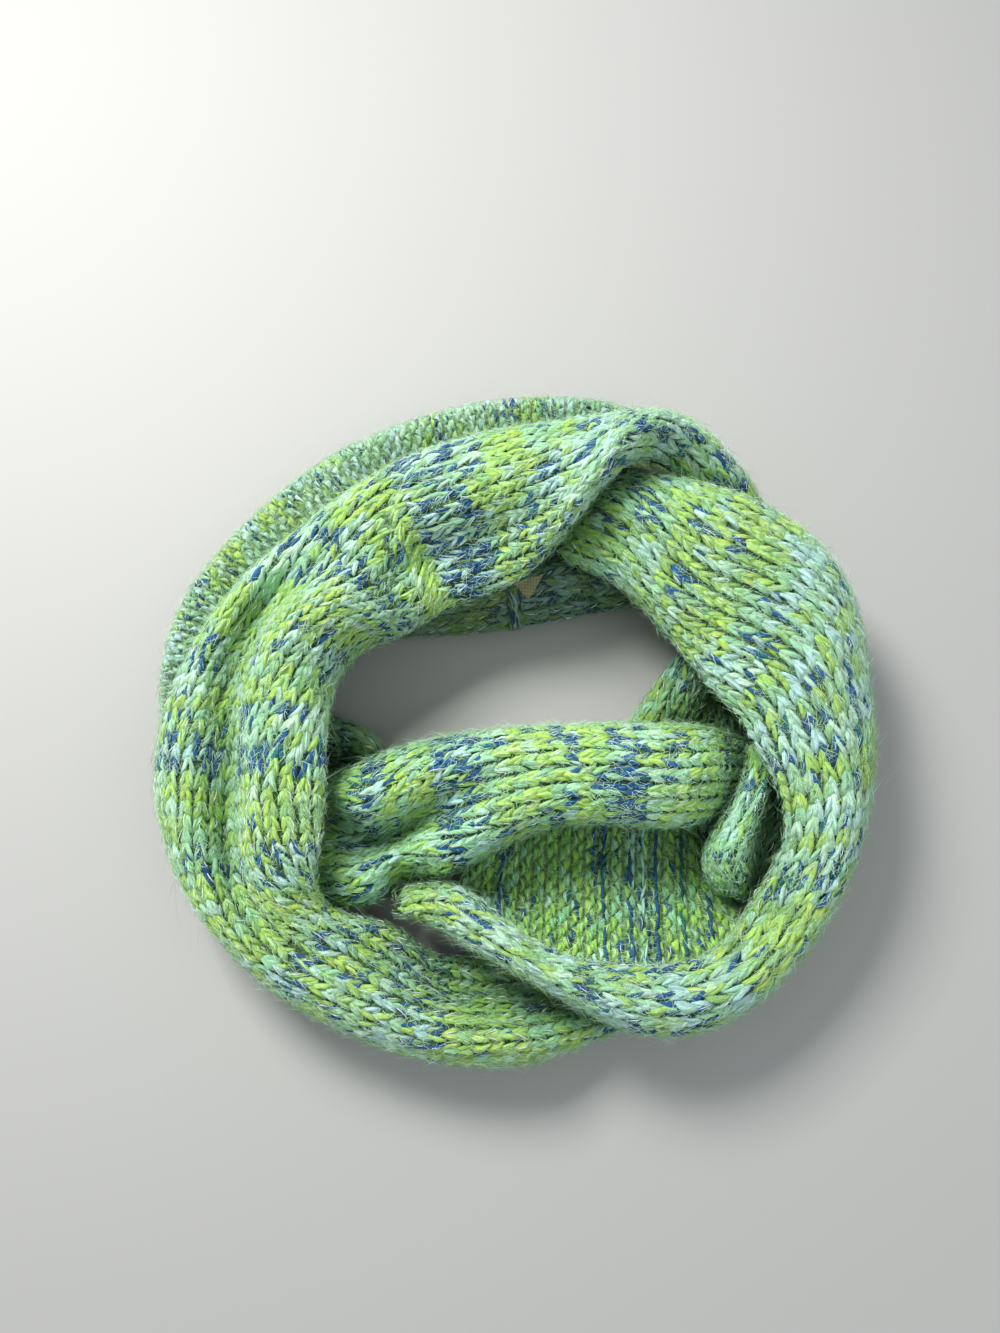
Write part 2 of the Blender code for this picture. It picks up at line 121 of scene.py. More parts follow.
def smooth(points, knots, at):
    # a smooth curve through the points, at places between their knots
    slope = np.gradient(points, knots, axis=0)
    span = np.clip(np.searchsorted(knots, at, side="right") - 1, 0, len(knots) - 2)
    step = (knots[span + 1] - knots[span])[:, None]
    t = (at - knots[span])[:, None] / step
    return (
        (2 * t**3 - 3 * t**2 + 1) * points[span]
        + (t**3 - 2 * t**2 + t) * step * slope[span]
        + (3 * t**2 - 2 * t**3) * points[span + 1]
        + (t**3 - t**2) * step * slope[span + 1]
    )


def lengthsAlong(points):
    steps = np.linalg.norm(np.diff(points, axis=0), axis=1)
    return np.concatenate([[0.0], np.cumsum(steps)])


curveSteps = 8  # steps of a curve for each point that is taken from it


def spread(points, count, line=lambda rows: rows):
    # so many points of the smooth curve, evenly apart along a line that each row of values gives
    knots = lengthsAlong(line(points))
    fine = smooth(points, knots, np.linspace(0, knots[-1], curveSteps * count))
    length = lengthsAlong(line(fine))
    even = np.linspace(0, length[-1], count)
    return np.stack([np.interp(even, length, column) for column in fine.T], axis=1)


def midLine(rows):
    return (rows[:, 0:2] + rows[:, 2:4]) / 2


def sectionsAlong(table, count):
    rows = np.array([row if len(row) == 10 else (*row, 0.5) for row in table], float)
    return spread(rows, count, midLine)


profileRule = {"tuck": 9.0, "mostTuck": 0.3, "crestAt": 0.54, "widestAt": 0.42, "shoulderAt": 0.84}


def profileOf(section, tuckedOut, tuckedIn):
    outer, inner = section[0:2], section[2:4]
    crestOut, crestMid, crestIn, footOut, footIn, fold = section[4:]
    width = np.linalg.norm(inner - outer)
    tuck = min(profileRule["tuck"] / width, profileRule["mostTuck"])
    first = profileRule["crestAt"] * fold
    last = 1 - profileRule["crestAt"] * (1 - fold)
    widest, shoulder = profileRule["widestAt"], profileRule["shoulderAt"]
    profile = [(first, crestOut), (fold, crestMid), (last, crestIn)]
    if tuckedOut:
        side = [(tuck, 0), (0, widest), (first / 3, shoulder)]
        profile = [(share, footOut + up * (crestOut - footOut)) for share, up in side] + profile
    else:
        profile = [(0, footOut)] + profile
    if tuckedIn:
        side = [(1 - (1 - last) / 3, shoulder), (1, widest), (1 - tuck, 0)]
        profile = profile + [(share, footIn + up * (crestIn - footIn)) for share, up in side]
    else:
        profile = profile + [(1, footIn)]
    return np.array([(*(outer + share * (inner - outer)), height) for share, height in profile])


def clothGrid(piece):
    rows, columns = piece["grid"]
    sections = sectionsAlong(piece["sections"], rows)
    tucked = piece.get("tucked", (True, True))
    grid = np.array([spread(profileOf(s, *tucked), columns) for s in sections]) * mm
    grid[1:-1] = (grid[:-2] + 2 * grid[1:-1] + grid[2:]) / 4
    grid[:, :, :2] -= np.array(middle) * mm
    for covers, rowsUnder in piece["under"]:
        pressUnder(grid[rowsUnder], covers)
    return grid


def solidTree(name):
    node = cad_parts[name]
    corners = [vertex.co for vertex in node.data.vertices]
    return BVHTree.FromPolygons(corners, [face.vertices for face in node.data.polygons])


trees = {name: solidTree(name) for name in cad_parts}
# the gap left under a stretch that lies on the cloth, how far around a point it is looked for,
# how far it has to reach to hide the point and how far above the point that is measured, in mm,
# and in how many directions
pressing = {"slack": 1.0, "reach": 4.5, "deep": 9.0, "above": 2.0, "rays": 8}


def ringOf(reach):
    angles = np.linspace(0, 2 * np.pi, pressing["rays"], endpoint=False)
    return [(0.0, 0.0)] + [(reach * mm * np.cos(a), reach * mm * np.sin(a)) for a in angles]


def lowestAbove(names, x, y, start=-mm):
    found = None
    for name in names:
        place, _, _, distance = trees[name].ray_cast(Vector((x, y, start)), Vector((0, 0, 1)))
        if place is not None and (found is None or distance < found[0]):
            found = (distance, place.z)
    return found and found[1]


def pressUnder(grid, covers):
    ring = ringOf(pressing["reach"])
    for point in grid.reshape(-1, 3):
        heights = [lowestAbove(covers, point[0] + dx, point[1] + dy) for dx, dy in ring]
        heights = [height for height in heights if height is not None]
        if heights:
            point[2] = min(point[2], min(heights) - pressing["slack"] * mm)


def coveredAt(points, covers):
    # true where the cloth above reaches well past the point on every side, so nobody sees it
    hidden = np.zeros(len(points), bool)
    ring = ringOf(pressing["deep"])
    for index, (x, y, z) in enumerate(points):
        start = z + pressing["above"] * mm
        hidden[index] = all(lowestAbove(covers, x + dx, y + dy, start) is not None for dx, dy in ring)
    return hidden


def curveWeights(t):
    return np.stack([
        -0.5 * t**3 + t**2 - 0.5 * t,
        1.5 * t**3 - 2.5 * t**2 + 1,
        -1.5 * t**3 + 2 * t**2 + 0.5 * t,
        0.5 * t**3 - 0.5 * t**2,
    ])


overshoot = 1.2 * mm  # how far the smooth surface may rise or sink past the points it joins


def onCloth(grid, row, column):
    # a smooth surface through the grid's points, at rows and columns in between
    rows, columns = grid.shape[:2]
    i = np.clip(np.floor(row).astype(int), 0, rows - 2)
    j = np.clip(np.floor(column).astype(int), 0, columns - 2)
    down, over = curveWeights(row - i), curveWeights(column - j)
    place = 0
    for a in range(4):
        for b in range(4):
            corner = grid[np.clip(i + a - 1, 0, rows - 1), np.clip(j + b - 1, 0, columns - 1)]
            place = place + (down[a] * over[b])[..., None] * corner
    heights = np.stack([grid[i + a, j + b, 2] for a in (0, 1) for b in (0, 1)])
    place[..., 2] = np.clip(place[..., 2], heights.min(0) - overshoot, heights.max(0) + overshoot)
    return place


def slopesAt(grid, row, column, step=0.04):
    along = (onCloth(grid, row + step, column) - onCloth(grid, row - step, column)) / (2 * step)
    across = (onCloth(grid, row, column + step) - onCloth(grid, row, column - step)) / (2 * step)
    return along, across


def outwards(along, across):
    out = np.cross(across, along)
    return out / np.maximum(np.linalg.norm(out, axis=-1, keepdims=True), 1e-12)


# each stretch of the scarf; a section is: outer x, y, inner x, y, crests outside, at the fold
# and inside, feet outside and inside, and where the fold lies (a half where it isn't given);
# points: which way its stitches point; grid and fine: rows and columns of its form and of the
# sheet under its stitches; evenAt and stripesAt: where across it the rows and the stripes are
# measured; cut: flat size in m; tucked: whether its outer and inner edge turn under; under: what
# lies on which of its rows; stripes: where along it each starts, in mm; shade: painted light and
# shade, how much lighter or darker its yarn is drawn for how it lies in the light; fuzz: how many
# loose fibres; meshes: how many its stitches are split into, if more than one
everyRow = slice(None)

leftStretch = {
    "node": "left_stretch", "slot": "left_yarn", "side": "knit", "points": 1,
    "grid": (44, 17), "fine": (84, 34), "evenAt": 0.42, "cut": (0.111, 0.600),
    "under": [(["right_stretch"], slice(0, 7)), (["right_stretch"], slice(40, 44))],
    "stripes": (
        (0, "flecked"), (30, "lime"), (92, "flecked"), (138, "lime"), (152, "flecked"),
        (172, "lime"), (206, "flecked"), (226, "lime"), (257, "blue"), (270, "flecked"),
        (286, "lime"), (300, "flecked"), (318, "lime"), (345, "flecked"), (378, "lime"),
        (407, "blue"), (437, "flecked"), (446, "lime"), (468, "flecked"), (496, "mint"),
        (508, "flecked"), (520, "mint"), (552, "flecked"), (576, "blue"), (592, "lime"),
    ),
    "shade": 1.0, "fuzz": 17000, "meshes": 2,
    "creases": (
        (2.2, 3.4, 0.5, 0.0, [
            (-95, -103), (-111, -81), (-119, -57), (-120, -28), (-122, -11), (-122, 2),
            (-116, 23), (-102, 45), (-88, 62),
        ]),
        (1.8, 3.2, 0.0, 5.2, [
            (-40, 98), (-46, 89), (-51, 78), (-51, 66), (-50, 54), (-48, 43), (-45, 32),
            (-42, 23), (-41, 14),
        ]),
    ),
    "sections": [
        (60, -137, 55, -120, 14, 13, 12, 1, 1),
        (40, -140, 34, -118, 19, 16, 12, 1, 1),
        (20, -147, 15, -112, 34, 24, 12, 1, 2),
        (-5, -152, -11, -106, 40, 30, 14, 1, 2),
        (-38, -148, -31, -110, 42, 38, 24, 1, 4),
        (-77, -134, -48, -96, 46, 46, 40, 1, 8),
        (-110, -112, -74, -90, 50, 47, 54, 6, 26, 0.42),
        (-135, -84, -79, -78, 52, 45, 62, 12, 44, 0.42),
        (-148, -56, -75, -59, 52, 42, 66, 13, 48, 0.40),
        (-153, -25, -76, -32, 52, 42, 67, 16, 46, 0.43),
        (-151, -11, -78, -12, 53, 44, 67, 20, 32, 0.40),
        (-147, 1, -77, 3, 54, 46, 66, 26, 26, 0.36),
        (-136, 24, -68, 21, 56, 48, 68, 28, 20, 0.29),
        (-120, 51, -52, 27, 57, 51, 70, 28, 20, 0.26),
        (-99, 70, -46, 29, 60, 58, 67, 28, 22, 0.35),
        (-79, 88, -40, 34, 63, 60, 53, 28, 26, 0.45),
        (-50, 107, -18, 43, 66, 66, 52, 28, 34),
        (-14, 118, -1, 48, 70, 72, 56, 28, 36),
        (22, 123, 17, 60, 72, 78, 74, 28, 46),
        (49, 127, 34, 79, 70, 82, 84, 28, 60),
        (69, 130, 56, 104, 66, 77, 76, 24, 54),
        (87, 127, 72, 103, 57, 65, 62, 14, 46),
        (104, 115, 87, 89, 46, 51, 46, 4, 32),
        (120, 98, 105, 76, 33, 34, 28, 1, 14),
        (129, 80, 112, 60, 15, 15, 15, 1, 1),
    ],
}

rightStretch = {
    "node": "right_stretch", "slot": "right_yarn", "side": "knit", "points": -1,
    "grid": (40, 15), "fine": (64, 26), "evenAt": 0.85, "stripesAt": 0.42, "cut": (0.098, 0.455),
    "under": [(["left_stretch"], slice(0, 5))],
    "stripes": (
        (0, "lime"), (28, "flecked"), (52, "lime"), (68, "flecked"), (78, "lime"),
        (104, "mint"), (128, "flecked"), (140, "mint"), (190, "flecked"), (204, "lime"),
        (216, "mint"), (236, "flecked"), (276, "lime"), (322, "mint"), (338, "flecked"),
        (364, "mint"), (378, "flecked"), (392, "mint"), (430, "flecked"), (463, "lime"),
    ),
    "shade": 1.0, "fuzz": 12500,
    "sections": [
        (22, 90, 20, 66, 48, 50, 48, 32, 35),
        (35, 98, 27, 58, 56, 58, 54, 30, 35),
        (50, 103, 37, 58, 60, 62, 54, 30, 32),
        (66, 98, 50, 50, 64, 67, 58, 32, 24),
        (84, 93, 62, 38, 70, 70, 60, 38, 18),
        (106, 84, 74, 23, 70, 70, 62, 42, 20),
        (131, 74, 83, 5, 68, 70, 62, 17, 30),
        (151, 47, 96, -11, 64, 68, 60, 1, 40),
        (155, 11, 103, -28, 60, 66, 58, 1, 44),
        (155, -21, 110, -42, 58, 62, 56, 1, 42),
        (148, -56, 113, -61, 54, 56, 52, 1, 36),
        (136, -85, 103, -81, 50, 50, 44, 1, 26),
        (118, -110, 90, -100, 46, 48, 42, 1, 24),
        (95, -130, 80, -108, 46, 48, 44, 1, 25),
        (74, -138, 64, -112, 47, 50, 46, 6, 27),
        (53, -138, 44, -112, 50, 52, 48, 20, 28),
        (34, -131, 23, -109, 52, 54, 50, 24, 30),
        (11, -119, 7, -102, 52, 54, 52, 26, 30),
        (-11, -107, -8, -91, 50, 52, 50, 24, 30),
        (-26, -100, -21, -80, 46, 48, 46, 16, 28),
        (-36, -92, -35, -78, 40, 42, 40, 12, 24),
        (-44, -92, -45, -81, 36, 37, 36, 16, 22),
        (-49, -92, -50, -82, 33, 33, 33, 21, 22),
    ],
}

acrossStretch = {
    "node": "across_stretch", "slot": "across_yarn", "side": "knit", "points": -1,
    "grid": (22, 15), "fine": (46, 32), "evenAt": 0.5, "cut": (0.113, 0.210),
    "under": [(["left_stretch", "right_stretch", "right_tongue"], everyRow)],
    "stripes": (
        (0, "lime"), (16, "flecked"), (36, "lime"), (58, "blue"), (76, "flecked"),
        (88, "lime"), (110, "flecked"), (120, "lime"), (132, "blue"), (150, "flecked"), (160, "lime"),
    ),
    "shade": 1.14, "fuzz": 6500,
    "sections": [
        (-87, -36, -85, -87, 38, 26, 40, 10, 10, 0.22),
        (-79, -34, -77, -89, 42, 24, 43, 10, 10, 0.27),
        (-71, -30, -68, -89, 46, 22, 44, 10, 10, 0.50),
        (-63, -26, -60, -87, 48, 20, 40, 10, 10, 0.64),
        (-52, -22, -49, -83, 50, 24, 40, 12, 10, 0.62),
        (-36, -18, -31, -77, 52, 34, 44, 14, 12, 0.56),
        (-14, -15, -8, -65, 53, 47, 49, 14, 14),
        (13, -13, 14, -55, 53, 53, 50, 14, 14),
        (39, -12, 38, -53, 53, 55, 52, 14, 14),
        (61, -12, 59, -55, 53, 56, 52, 14, 14),
        (81, -12, 78, -54, 48, 50, 46, 14, 14),
        (95, -13, 92, -47, 36, 36, 32, 12, 12),
        (109, -15, 106, -42, 20, 20, 20, 8, 8),
    ],
}

outerBackStretch = {
    "node": "outer_back_stretch", "slot": "outer_yarn", "side": "purl", "points": 1,
    "grid": (28, 9), "fine": (60, 14), "evenAt": 0.4, "cut": (0.053, 0.412),
    "tucked": (True, False), "under": [(["left_stretch"], everyRow)],
    "stripes": (
        (0, "mint"), (18, "flecked"), (32, "lime"), (58, "blue"), (84, "mint"), (150, "flecked"),
        (162, "lime"), (178, "mint"), (198, "lime"), (210, "mint"), (286, "flecked"), (296, "mint"),
        (328, "flecked"), (338, "lime"), (350, "mint"), (386, "flecked"), (408, "mint"),
    ),
    "shade": 0.92, "fuzz": 5500,
    "sections": [
        (-126, -89, -114, -82, 9, 9, 9, 1, 1),
        (-145, -58, -133, -56, 11, 11, 11, 1, 1),
        (-155, -24, -142, -22, 13, 13, 13, 1, 5),
        (-160, -4, -145, -3, 22, 22, 22, 1, 18),
        (-158, 14, -138, 12, 32, 33, 32, 1, 30),
        (-154, 42, -126, 31, 34, 34, 33, 1, 31),
        (-138, 70, -110, 54, 34, 34, 33, 1, 31),
        (-114, 98, -88, 78, 34, 34, 33, 1, 31),
        (-81, 125, -61, 99, 34, 34, 33, 1, 31),
        (-51, 139, -36, 111, 34, 34, 33, 1, 31),
        (-15, 150, -9, 118, 34, 34, 33, 1, 31),
        (25, 153, 21, 120, 34, 34, 33, 1, 31),
        (54, 149, 46, 121, 32, 32, 31, 1, 28),
        (72, 144, 63, 123, 26, 26, 25, 1, 22),
        (88, 135, 80, 120, 14, 14, 12, 1, 8),
    ],
}

innerBackStretch = {
    "node": "inner_back_stretch", "slot": "inner_yarn", "side": "knit", "points": 1,
    "grid": (17, 8), "fine": (34, 14), "evenAt": 0.5, "cut": (0.043, 0.143),
    "tucked": (False, True), "under": [(["left_stretch", "right_stretch"], everyRow)],
    "stripes": ((0, "lime"), (34, "flecked"), (52, "lime"), (96, "flecked"), (128, "mint")),
    "shade": 0.52, "fuzz": 1500,
    "sections": [
        (-86, 36, -79, 18, 17, 17, 14, 14, 1),
        (-64, 48, -65, 34, 26, 24, 18, 24, 1),
        (-46, 49, -47, 36, 32, 30, 24, 30, 1),
        (-28, 51, -28, 37, 34, 32, 26, 32, 1),
        (-5, 60, -5, 39, 34, 32, 26, 32, 1),
        (13, 68, 18, 43, 34, 32, 26, 32, 1),
        (30, 71, 42, 48, 32, 30, 24, 30, 1),
        (41, 68, 58, 51, 28, 26, 22, 26, 1),
    ],
}

innerRightStretch = {
    "node": "inner_right_stretch", "slot": "shade_yarn", "side": "knit", "points": 1,
    "grid": (8, 9), "fine": (24, 24), "evenAt": 0.5, "cut": (0.069, 0.057),
    "tucked": (False, True),
    "under": [(["left_stretch", "right_stretch", "right_tongue", "across_stretch"], everyRow)],
    "stripes": ((0, "lime"), (8, "flecked"), (26, "lime")),
    "shade": 0.90, "fuzz": 900,
    "sections": [
        (111, 24, 84, 34, 16, 24, 22, 12, 1, 0.55),
        (112, 10, 78, 26, 14, 24, 24, 10, 1, 0.62),
        (111, 0, 65, 10, 10, 22, 24, 8, 1, 0.62),
        (108, -11, 53, -7, 10, 16, 20, 8, 1, 0.60),
        (102, -22, 46, -17, 10, 12, 14, 8, 1),
    ],
}

rightTongue = {
    "node": "right_tongue", "slot": "tongue_yarn", "side": "knit", "points": -1,
    "grid": (10, 9), "fine": (30, 24), "evenAt": 0.6, "cut": (0.049, 0.077),
    "tucked": (False, True), "under": [(["right_stretch"], everyRow)],
    "stripes": ((0, "lime"), (14, "blue"), (28, "flecked"), (42, "mint"), (54, "flecked")),
    "shade": 1.25, "fuzz": 2000,
    "sections": [
        (123, -15, 103, -19, 26, 37, 35, 22, 24, 0.65),
        (122, -30, 101, -30, 28, 40, 38, 22, 30, 0.65),
        (121, -45, 94, -45, 28, 41, 38, 22, 28, 0.68),
        (119, -60, 84, -60, 26, 40, 36, 20, 18, 0.68),
        (115, -71, 82, -71, 24, 36, 32, 18, 8, 0.62),
        (109, -80, 87, -79, 20, 28, 24, 14, 8, 0.55),
        (103, -87, 93, -83, 18, 20, 18, 12, 10),
    ],
}

frontHollow = {
    "node": "front_hollow", "slot": "hollow_yarn", "side": "purl", "points": 1,
    "grid": (14, 9), "fine": (30, 20), "evenAt": 0.5, "cut": (0.068, 0.129),
    "tucked": (False, False),
    "under": [(["right_stretch", "right_tongue", "across_stretch"], everyRow)],
    "stripes": (
        (0, "lime"), (12, "mint"), (18, "line"), (24, "lime"), (59, "line"), (64, "lime"),
        (70, "line"), (76, "mint"), (82, "line"), (87, "lime"), (105, "line"), (110, "lime"),
    ),
    "threads": ((15.1, "blue"), (61.5, "blue"), (73.1, "blue"), (78.9, "ice"), (84.7, "blue"),
                (96.3, "teal"), (107.9, "blue")),
    "shade": 1.4, "fuzz": 2000,
    "sections": [
        (-18, -62, -24, -83, 18, 16, 18, 22, 24),
        (-5, -53, -7, -98, 10, 8, 14, 14, 24),
        (15, -43, 12, -108, 7, 6, 12, 10, 24),
        (40, -41, 37, -117, 6, 6, 12, 8, 24),
        (67, -41, 64, -118, 6, 6, 12, 8, 24),
        (89, -45, 86, -111, 7, 6, 12, 10, 22),
        (104, -52, 100, -100, 9, 7, 10, 12, 16),
    ],
}

leftInnerFold = {
    "node": "left_inner_fold", "slot": "fold_yarn", "side": "knit", "points": 1,
    "grid": (7, 8), "fine": (20, 20), "evenAt": 0.4, "cut": (0.047, 0.037),
    "tucked": (True, False), "under": [(["left_stretch", "across_stretch"], everyRow)],
    "stripes": ((0, "lime"), (6, "flecked"), (22, "lime"), (30, "flecked")),
    "shade": 0.8, "fuzz": 600,
    "sections": [
        (-92, 0, -90, -27, 22, 20, 14, 1, 10),
        (-83, -3, -83, -30, 22, 20, 14, 1, 10),
        (-73, -6, -75, -32, 22, 20, 14, 1, 10),
        (-64, -11, -68, -34, 20, 18, 12, 1, 8),
        (-57, -17, -62, -35, 14, 14, 8, 1, 6),
    ],
}

# the layer in the gap under the rim, which only shows as a shadow; its yarn is drawn dark as painted shade
rimLining = {
    "node": "rim_lining", "slot": "inner_yarn", "side": "purl", "points": 1,
    "grid": (8, 8), "fine": (20, 16), "evenAt": 0.5, "cut": (0.040, 0.070),
    "tucked": (False, False), "under": [(["left_stretch", "right_stretch"], everyRow)],
    "stripes": ((0, "lime"), (24, "mint"), (48, "lime")),
    "shade": 0.5, "fuzz": 300,
    "sections": [
        (30, 128, 28, 90, 26, 27, 26, 24, 24),
        (50, 126, 44, 88, 27, 28, 27, 24, 24),
        (72, 122, 62, 86, 25, 26, 25, 22, 22),
        (90, 114, 80, 80, 20, 22, 20, 18, 18),
        (100, 106, 92, 74, 14, 16, 14, 12, 12),
    ],
}

stretches = [
    leftStretch, rightStretch, acrossStretch, outerBackStretch, innerBackStretch,
    innerRightStretch, rightTongue, frontHollow, leftInnerFold, rimLining,
]


def feed(tree, node, sockets):
    # links a socket where its value is another node's socket, and sets it where it isn't
    for name, value in sockets.items():
        if isinstance(value, bpy.types.NodeSocket):
            tree.links.new(value, node.inputs[name])
        else:
            node.inputs[name].default_value = value


def addNode(tree, kind, sockets):
    node = tree.nodes.new("ShaderNode" + kind)
    feed(tree, node, sockets)
    return node


def mathNode(tree, operation, *values):
    node = addNode(tree, "Math", dict(enumerate(values)))
    node.operation = operation
    return node.outputs[0]


def mixNode(tree, blending, share, first, second):
    node = tree.nodes.new("ShaderNodeMix")
    node.data_type = "RGBA"
    node.blend_type = blending
    feed(tree, node, {"Factor": share, "A": first, "B": second})
    return node.outputs["Result"]


def attributeNode(tree, name, output):
    node = tree.nodes.new("ShaderNodeAttribute")
    node.attribute_name = name
    return node.outputs[output]


def rampNode(tree, value, ends, colours):
    node = addNode(tree, "ValToRGB", {"Fac": value})
    for element, at, colour in zip(node.color_ramp.elements, ends, colours):
        element.position = at
        element.color = (*colour, 1)
    return node.outputs["Color"]


def bumpNode(tree, height, look):
    sockets = {"Height": height, "Strength": look["bump"], "Distance": look["bumpHeight"]}
    return addNode(tree, "Bump", sockets).outputs[0]


def layOutNodes(tree, across=220, down=260, columns=6):
    for index, node in enumerate(tree.nodes):
        node.location = (across * (index % columns), -down * (index // columns))


def newMaterial(name):
    material = bpy.data.materials.new(name)
    material.use_nodes = True
    return material, material.node_tree


def finishMaterial(material, sockets):
    tree = material.node_tree
    feed(tree, tree.nodes["Principled BSDF"], sockets)
    layOutNodes(tree)
    return material


yarnLook = {
    "turns": 2.0, "fibreContrast": 2.0, "bump": 0.9, "bumpHeight": 0.35 * mm,
    "sheen": 0.12, "sheenRoughness": 0.6, "specular": 0.25,
    "fibreScale": (2.6, 2.6, 1.3), "fibreDetail": 3.0, "fibreRoughness": 0.65,
    "waveSway": 0.9, "fibreSway": 1.4, "shareSway": 2.4,  # what moves the edge between the plies
    "softEdge": 0.22, "valley": 0.2, "fibreHeight": 1.6, "roughness": 0.75, "roughnessVary": 0.35,
}


def makeTwistGroup(look):
    # two plies twisted round each other, with fibres running along them
    group = bpy.data.node_groups.new("twistedPlies", "ShaderNodeTree")
    for name, direction, kind in (
        ("Strand", "INPUT", "Vector"), ("Ply A", "INPUT", "Color"), ("Ply B", "INPUT", "Color"),
        ("Share", "INPUT", "Float"), ("Turns", "INPUT", "Float"), ("Fibre Contrast", "INPUT", "Float"),
        ("Colour", "OUTPUT", "Color"), ("Height", "OUTPUT", "Float"), ("Roughness", "OUTPUT", "Float"),
    ):
        group.interface.new_socket(name=name, in_out=direction, socket_type="NodeSocket" + kind)
    given = group.nodes.new("NodeGroupInput").outputs

    def calc(operation, *values):
        return mathNode(group, operation, *values)

    parts = addNode(group, "SeparateXYZ", {0: given["Strand"]}).outputs
    phase = calc("MULTIPLY", parts["Z"], given["Turns"])
    sine = calc("MULTIPLY", parts["X"], calc("SINE", phase))
    wave = calc("ADD", sine, calc("MULTIPLY", parts["Y"], calc("COSINE", phase)))
    stretch = addNode(group, "Mapping", {"Vector": given["Strand"], "Scale": look["fibreScale"]})
    noise = addNode(group, "TexNoise", {
        "Vector": stretch.outputs[0], "Scale": 1.0, "Detail": look["fibreDetail"],
        "Roughness": look["fibreRoughness"],
    })
    fibre = calc("SUBTRACT", noise.outputs["Fac"], 0.5)

    sway = calc("ADD", calc("MULTIPLY", wave, look["waveSway"]), calc("MULTIPLY", fibre, look["fibreSway"]))
    bias = calc("MULTIPLY", calc("SUBTRACT", given["Share"], 0.5), look["shareSway"])
    soften = group.nodes.new("ShaderNodeMapRange")
    soften.interpolation_type = "SMOOTHSTEP"
    feed(group, soften, {
        "Value": calc("ADD", sway, bias), "From Min": -look["softEdge"], "From Max": look["softEdge"],
    })
    blend = mixNode(group, "MIX", soften.outputs[0], given["Ply B"], given["Ply A"])
    light = calc("ADD", calc("MULTIPLY", fibre, given["Fibre Contrast"]), 1.0)
    grey = addNode(group, "CombineColor", dict.fromkeys(range(3), light)).outputs[0]
    valley = calc("MULTIPLY", calc("ABSOLUTE", wave), look["valley"])
    feed(group, group.nodes.new("NodeGroupOutput"), {
        "Colour": mixNode(group, "MULTIPLY", 1.0, blend, grey),
        "Height": calc("ADD", valley, calc("MULTIPLY", fibre, look["fibreHeight"])),
        "Roughness": calc("ADD", calc("MULTIPLY", fibre, look["roughnessVary"]), look["roughness"]),
    })
    layOutNodes(group)
    return group


def makeYarnMaterial(look):
    material, tree = newMaterial("marledYarn")
    twist = tree.nodes.new("ShaderNodeGroup")
    twist.node_tree = makeTwistGroup(look)
    feed(tree, twist, {
        "Strand": attributeNode(tree, "strand", "Vector"), "Share": attributeNode(tree, "share", "Fac"),
        "Ply A": attributeNode(tree, "plyA", "Color"), "Ply B": attributeNode(tree, "plyB", "Color"),
        "Turns": look["turns"], "Fibre Contrast": look["fibreContrast"],
    })
    return finishMaterial(material, {
        "Base Color": twist.outputs["Colour"], "Roughness": twist.outputs["Roughness"],
        "Normal": bumpNode(tree, twist.outputs["Height"], look), "Sheen Weight": look["sheen"],
        "Sheen Roughness": look["sheenRoughness"], "Specular IOR Level": look["specular"],
    })


# what lies between the stitches: the same yarn in shade
backing = {
    "grain": 420, "detail": 4, "ends": (0.35, 0.68), "shades": (0.30, 0.75), "roughness": 0.9,
    "bump": 0.8, "bumpHeight": 0.6 * mm,
}


def shadesOf(colour, shades):
    return [[shade * channel for channel in colour] for shade in shades]


def makeBackingMaterial(name, colour):
    material, tree = newMaterial(name)
    place = tree.nodes.new("ShaderNodeTexCoord").outputs["Object"]
    noise = addNode(tree, "TexNoise", {
        "Vector": place, "Scale": backing["grain"], "Detail": backing["detail"],
    }).outputs["Fac"]
    return finishMaterial(material, {
        "Base Color": rampNode(tree, noise, backing["ends"], shadesOf(colour, backing["shades"])),
        "Normal": bumpNode(tree, noise, backing), "Roughness": backing["roughness"],
    })


def makeFuzzMaterial(roughness=0.8, sheen=0.4):
    material, tree = newMaterial("looseFibres")
    return finishMaterial(material, {
        "Base Color": attributeNode(tree, "plyA", "Color"), "Roughness": roughness, "Sheen Weight": sheen,
    })


yarnMaterial = makeYarnMaterial(yarnLook)
backingMaterials = {
    "knit": makeBackingMaterial("yarnInShade", (0.12, 0.27, 0.11)),
    "purl": makeBackingMaterial("yarnBehindBows", (0.36, 0.60, 0.26)),
}
coreMaterial = makeBackingMaterial("foldsInShade", (0.04, 0.11, 0.05))
fuzzMaterial = makeFuzzMaterial()
# the thin shiny thread that runs along the yarn, drawn plain white rather than as metal: its colour is
# partly the thread's own pale silver and partly a painted highlight of its shine
glintMaterial = finishMaterial(
    newMaterial("shinyThread")[0], {"Base Color": (0.93, 0.97, 1.0, 1), "Roughness": 0.25})
print("materials made")


def linkedObject(name, data):
    obj = bpy.data.objects.new(name, data)
    bpy.context.scene.collection.objects.link(obj)
    return obj


